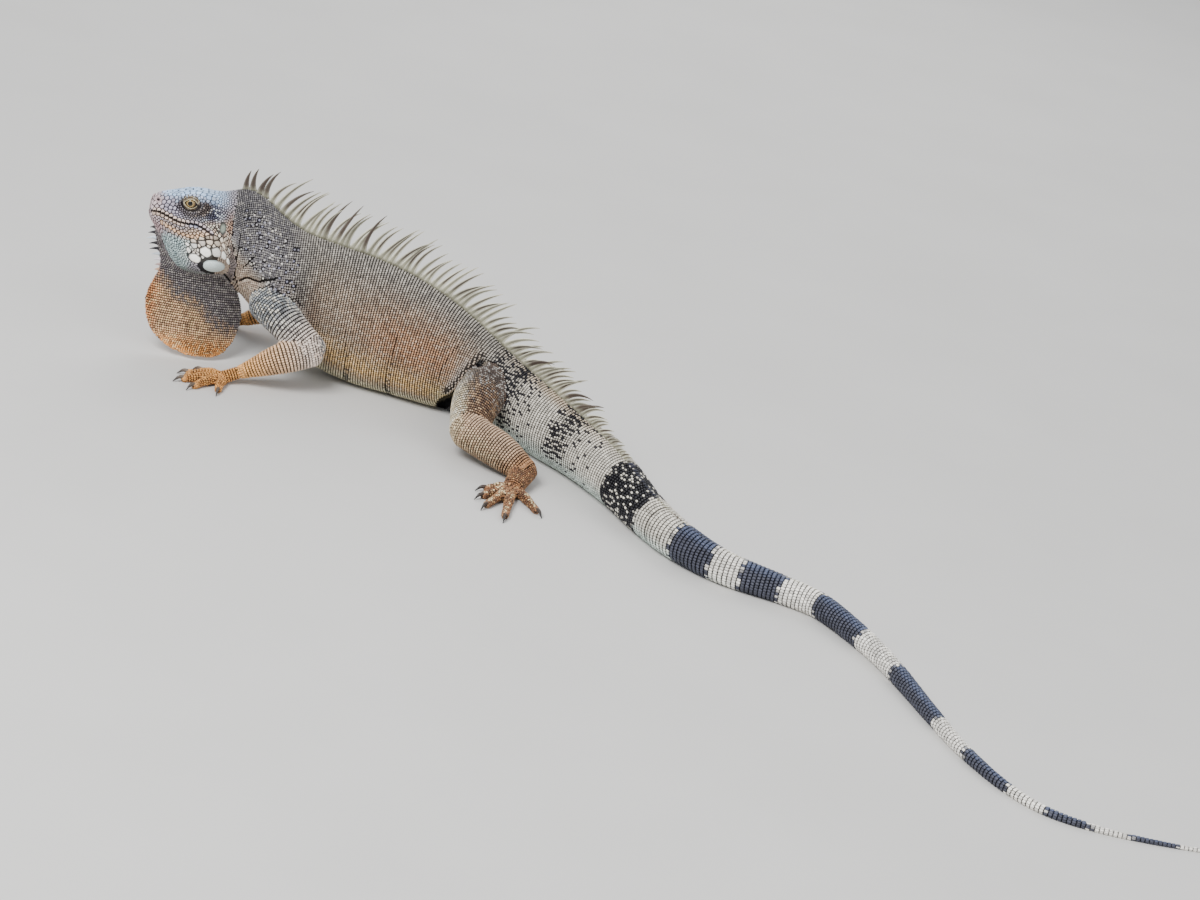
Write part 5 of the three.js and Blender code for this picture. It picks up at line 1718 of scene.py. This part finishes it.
def crest():
    """The crest: curved blades down the midline with wide feet that run together, then a low saw
    edge along the tail."""
    fine = np.arange(-182, 860.0)
    pitch = np.interp(fine, [-182, -150, 250, 330, 860], [7.2, 5.8, 5.6, 4.6, 4.6])
    count = np.cumsum(1 / pitch)
    at = np.interp(np.arange(0.5, count[-1]), count, fine)
    many = len(at)
    spine = at < 322
    length = np.where(spine, CREST["length"](at), np.interp(at, [320, 420, 860], [9, 4.5, 2]))
    length = length * (1 + 0.1 * random.normal(0, 1, many).clip(-2, 1.5) * spine)
    shake = random.normal(0, 1, (3, many)).clip(-2, 2)
    lean = np.radians(np.where(spine, CREST["lean"](at), 62) + 5 * shake[0] * spine)
    curl = np.radians(20 + 9 * shake[1]) * spine + 0.3
    _, _, left_x, left_y = line_at(at)
    aft = np.stack([-left_y, left_x, 0 * at], -1)
    left = np.stack([left_x, left_y, 0 * at], -1)
    rise = unit(np.array([0.0, 0, 1]) + left * 0.05 * shake[2][:, None])
    root = body_surface(at, 0 * at, -1.5)
    chord = np.where(spine, np.interp(length, [0, 20, 45], [3.6, 5.0, 5.9]), 3.0)
    chord = chord + 1.8 * (1 - ease(at, -166, -150))
    flare = np.where(spine, np.interp(at, [-182, -150, 240, 320], [0.8, 1.0, 0.9, 0.5]), 0.5)
    thick = np.where(spine, 1.8, 1.6)
    grid = blades(root, aft, rise, length, chord, thick, lean, curl, flare)
    rows, sides = grid.shape[1:3]
    t, edge = np.linspace(0, 1, rows)[:, None], np.cos(turns(sides))
    dark = random.random((many, 1, 1))
    nape = (1 - ease(at, -163, -148))[:, None, None] + 0.8 * (random.random((many, 1, 1)) < 0.12)
    on_tail = sum(window(at, low, high, 2) for low, high in DARK_BANDS) * (at > 300)
    marking = washed(
        "8f8d79",
        ("3e342e", window(t, 0.2, 0.86, 0.12) * (0.4 + 0.6 * dark) * (abs(edge) < 0.7)),
        ("dcd9c6", 0.85 * (abs(edge) > 0.7) * ease(t, 0.0, 0.15)),
        ("bfb9a2", 0.6 * ease(t, 0.75, 0.97)),
        ("453832", np.clip(nape, 0, 0.85) * ease(t, 0.0, 0.3)),
        (NAVY, 0.9 * on_tail[:, None, None]),
    )
    rim = 0.5 * bump(edge, 0.2, 0.35) * (1 - 0.6 * ease(t, 0.6, 0.9))
    bladed("crest", grid[spine], marking[spine], rim, "body_skin", CREST_PAINT)
    bladed("tail_edge", grid[~spine], marking[~spine], rim, "tail_skin", CREST_PAINT)


def throat_spikes():
    """The row of flat spikes down the front of the throat fan, with their lengths and colours."""
    spikes = (
        (6, "3a3638"), (8, "2c2a2e"), (10.5, "c9d2dc"), (9, "1f1d20"), (10, "201e22"),
        (9, "b9c0c8"), (8, "c8c2c8"), (6.5, "b79d98"), (5.5, "b08a70"),
    )
    up = 122 - 5.2 * np.arange(len(spikes))
    root = fan_surface(up, 0 * up, -2.5)
    ahead, rise = (np.broadcast_to(v, root.shape) for v in ([-0.35, 0.0, -1.0], [-1.0, 0, 0]))
    length = np.array([far for far, _ in spikes])
    chord, thick, lean, curl, flare = np.outer([4.6, 2.4, 0.25, 0.5, 0.8], np.ones(len(spikes)))
    grid = blades(root, unit(ahead), rise, length, chord, thick, lean, curl, flare, rows=8, sides=8)
    marking = np.stack([tint(code) for _, code in spikes])[:, None, None]
    rim = np.abs(np.cos(turns(8))) ** 3 * 0.5
    bladed("throat_spikes", grid, marking, rim, "throat_fan", CREST_PAINT)


def claws():
    """Curved horn on every digit: a tube round the curve through its joints, the middle one raised,
    that narrows to a point and darkens towards it."""
    place = np.append(-np.linspace(0.95, 0, 5), np.linspace(0.08, 0.99, 12))[:, None]
    for kind, paw, pale, dark in (("arm", "hand", "7d6a58", "2b2320"), ("leg", "foot", "4d3a2c", "141110")):
        marking = washed(pale, (dark, ease(place, 0, 0.9)))
        for side_name in SIDES:
            horns = np.array([horn for _, horn in digits[kind, side_name]])
            horns[:, 1, 2] += 0.8
            grid = np.stack([limb_surface(h, CLAW_RADII, 1.1)(place, turns(14), -0.15) for h in horns])
            nodes = [f"{paw}_{side_name}_claw_{i}" for i in range(1, 6)]
            bladed(f"claws_{paw}_{side_name}", grid, marking, 0.0, "claw", HORN_PAINT, *nodes)


# ---------------------------------------------------------------- floor, light and camera
def aimed(place, back, roll=0.0):
    """The matrix of a lamp or camera whose back points along back, turned by roll round it."""
    right = unit(np.cross((0, 0, 1), back))
    rise = np.cross(back, right)
    turned = [right * np.cos(roll) + rise * np.sin(roll), rise * np.cos(roll) - right * np.sin(roll), back]
    return Matrix.Translation(place) @ Matrix(np.column_stack(turned)).to_4x4()


def studio():
    """A pale floor, soft lamps above it, and the camera low at the animal's left."""
    bpy.ops.mesh.primitive_plane_add(size=14, location=(0.2, -0.1, 0))
    ground = bpy.context.object
    ground.name = "floor"
    paint, tree, shader = new_paint("floor_paint", {"Roughness": 0.85})
    grain = tree.nodes.new("ShaderNodeTexCoord").outputs["Object"]
    worn = map_range(tree, noise(tree, grain, 5, 6), 0.3, 0.7)
    shade = blend_colour(tree, worn, (0.6, 0.59, 0.57, 1), (0.63, 0.62, 0.6, 1))
    tree.links.new(shade, shader.inputs["Base Color"])
    ground.data.materials.append(paint)
    for name, spot, aim, size, watts in (
        ("key", (-1.3, -1.5, 2.3), (0.0, -0.1, 0.05), 1.3, 106),
        ("fill", (1.9, -1.9, 1.3), (0.2, -0.2, 0.05), 2.2, 28),
        ("back", (0.6, 2.2, 2.0), (0.1, 0.0, 0.05), 1.8, 46),
    ):
        lamp = bpy.data.lights.new(name, "AREA")
        lamp.size, lamp.energy = size, watts
        linked(name, lamp).matrix_world = aimed(spot, unit(np.array(spot) - np.array(aim)))
    world = bpy.data.worlds.new("studio_air")
    world.use_nodes = True
    air = world.node_tree.nodes["Background"].inputs
    air["Color"].default_value, air["Strength"].default_value = (0.93, 0.96, 1.0, 1), 0.66
    bpy.context.scene.world = world
    camera = bpy.data.cameras.new("camera")
    camera.lens, camera.sensor_width = 96, 36
    azimuth, elevation, roll = np.radians((-10, 22, 13))
    level = np.array([np.sin(azimuth), -np.cos(azimuth), 0]) * np.cos(elevation)
    back = level + [0, 0, np.sin(elevation)]
    viewer = linked("camera", camera)
    viewer.matrix_world = aimed(np.array([208.1, -80.2, -1]) * MM + back * 3.2, back, roll)
    bpy.context.scene.camera = viewer


# ---------------------------------------------------------------- the whole animal
def tinted(piece):
    """Gives each point of the skin the marking of the scale nearest to it."""
    source = bare_points("roots", np.concatenate([root for root, _ in painted]))
    put(source.data, "marking", np.concatenate([marking for _, marking in painted]), "FLOAT_COLOR")
    carry = piece.modifiers.new("carry", "DATA_TRANSFER")
    carry.object, carry.use_vert_data = source, True
    carry.data_types_verts, carry.vert_mapping = {"COLOR_VERTEX"}, "NEAREST"
    settle_modifiers(piece)
    bpy.data.objects.remove(source)


for side_name in SIDES:
    limb_coat("arm", "hand", side_name, arm_colours, 3.2, 2.6, 2.6)
for side_name in SIDES:
    limb_coat("leg", "foot", side_name, leg_colours, 2.8, 2.2, 3.0)
fan_coat()
head_plates()
snout_scales()
eyes()
lids()
shields()
ears_and_nostrils()
neck_tubercles()
body_coats()
crest()
throat_spikes()
claws()
studio()
flesh_nodes = [
    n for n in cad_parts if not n.startswith(("eye_", "shield_")) and "_claw_" not in n
]
# The skin is all gap colour, almost black: partly its own dark colour, partly painted shade, as it shows
# only between scales and in creases.
tinted(dressed(skin, (0, 0, 0), 1.0, 0.0))
finished(skin, "body_skin", SKIN_PAINT, *flesh_nodes)
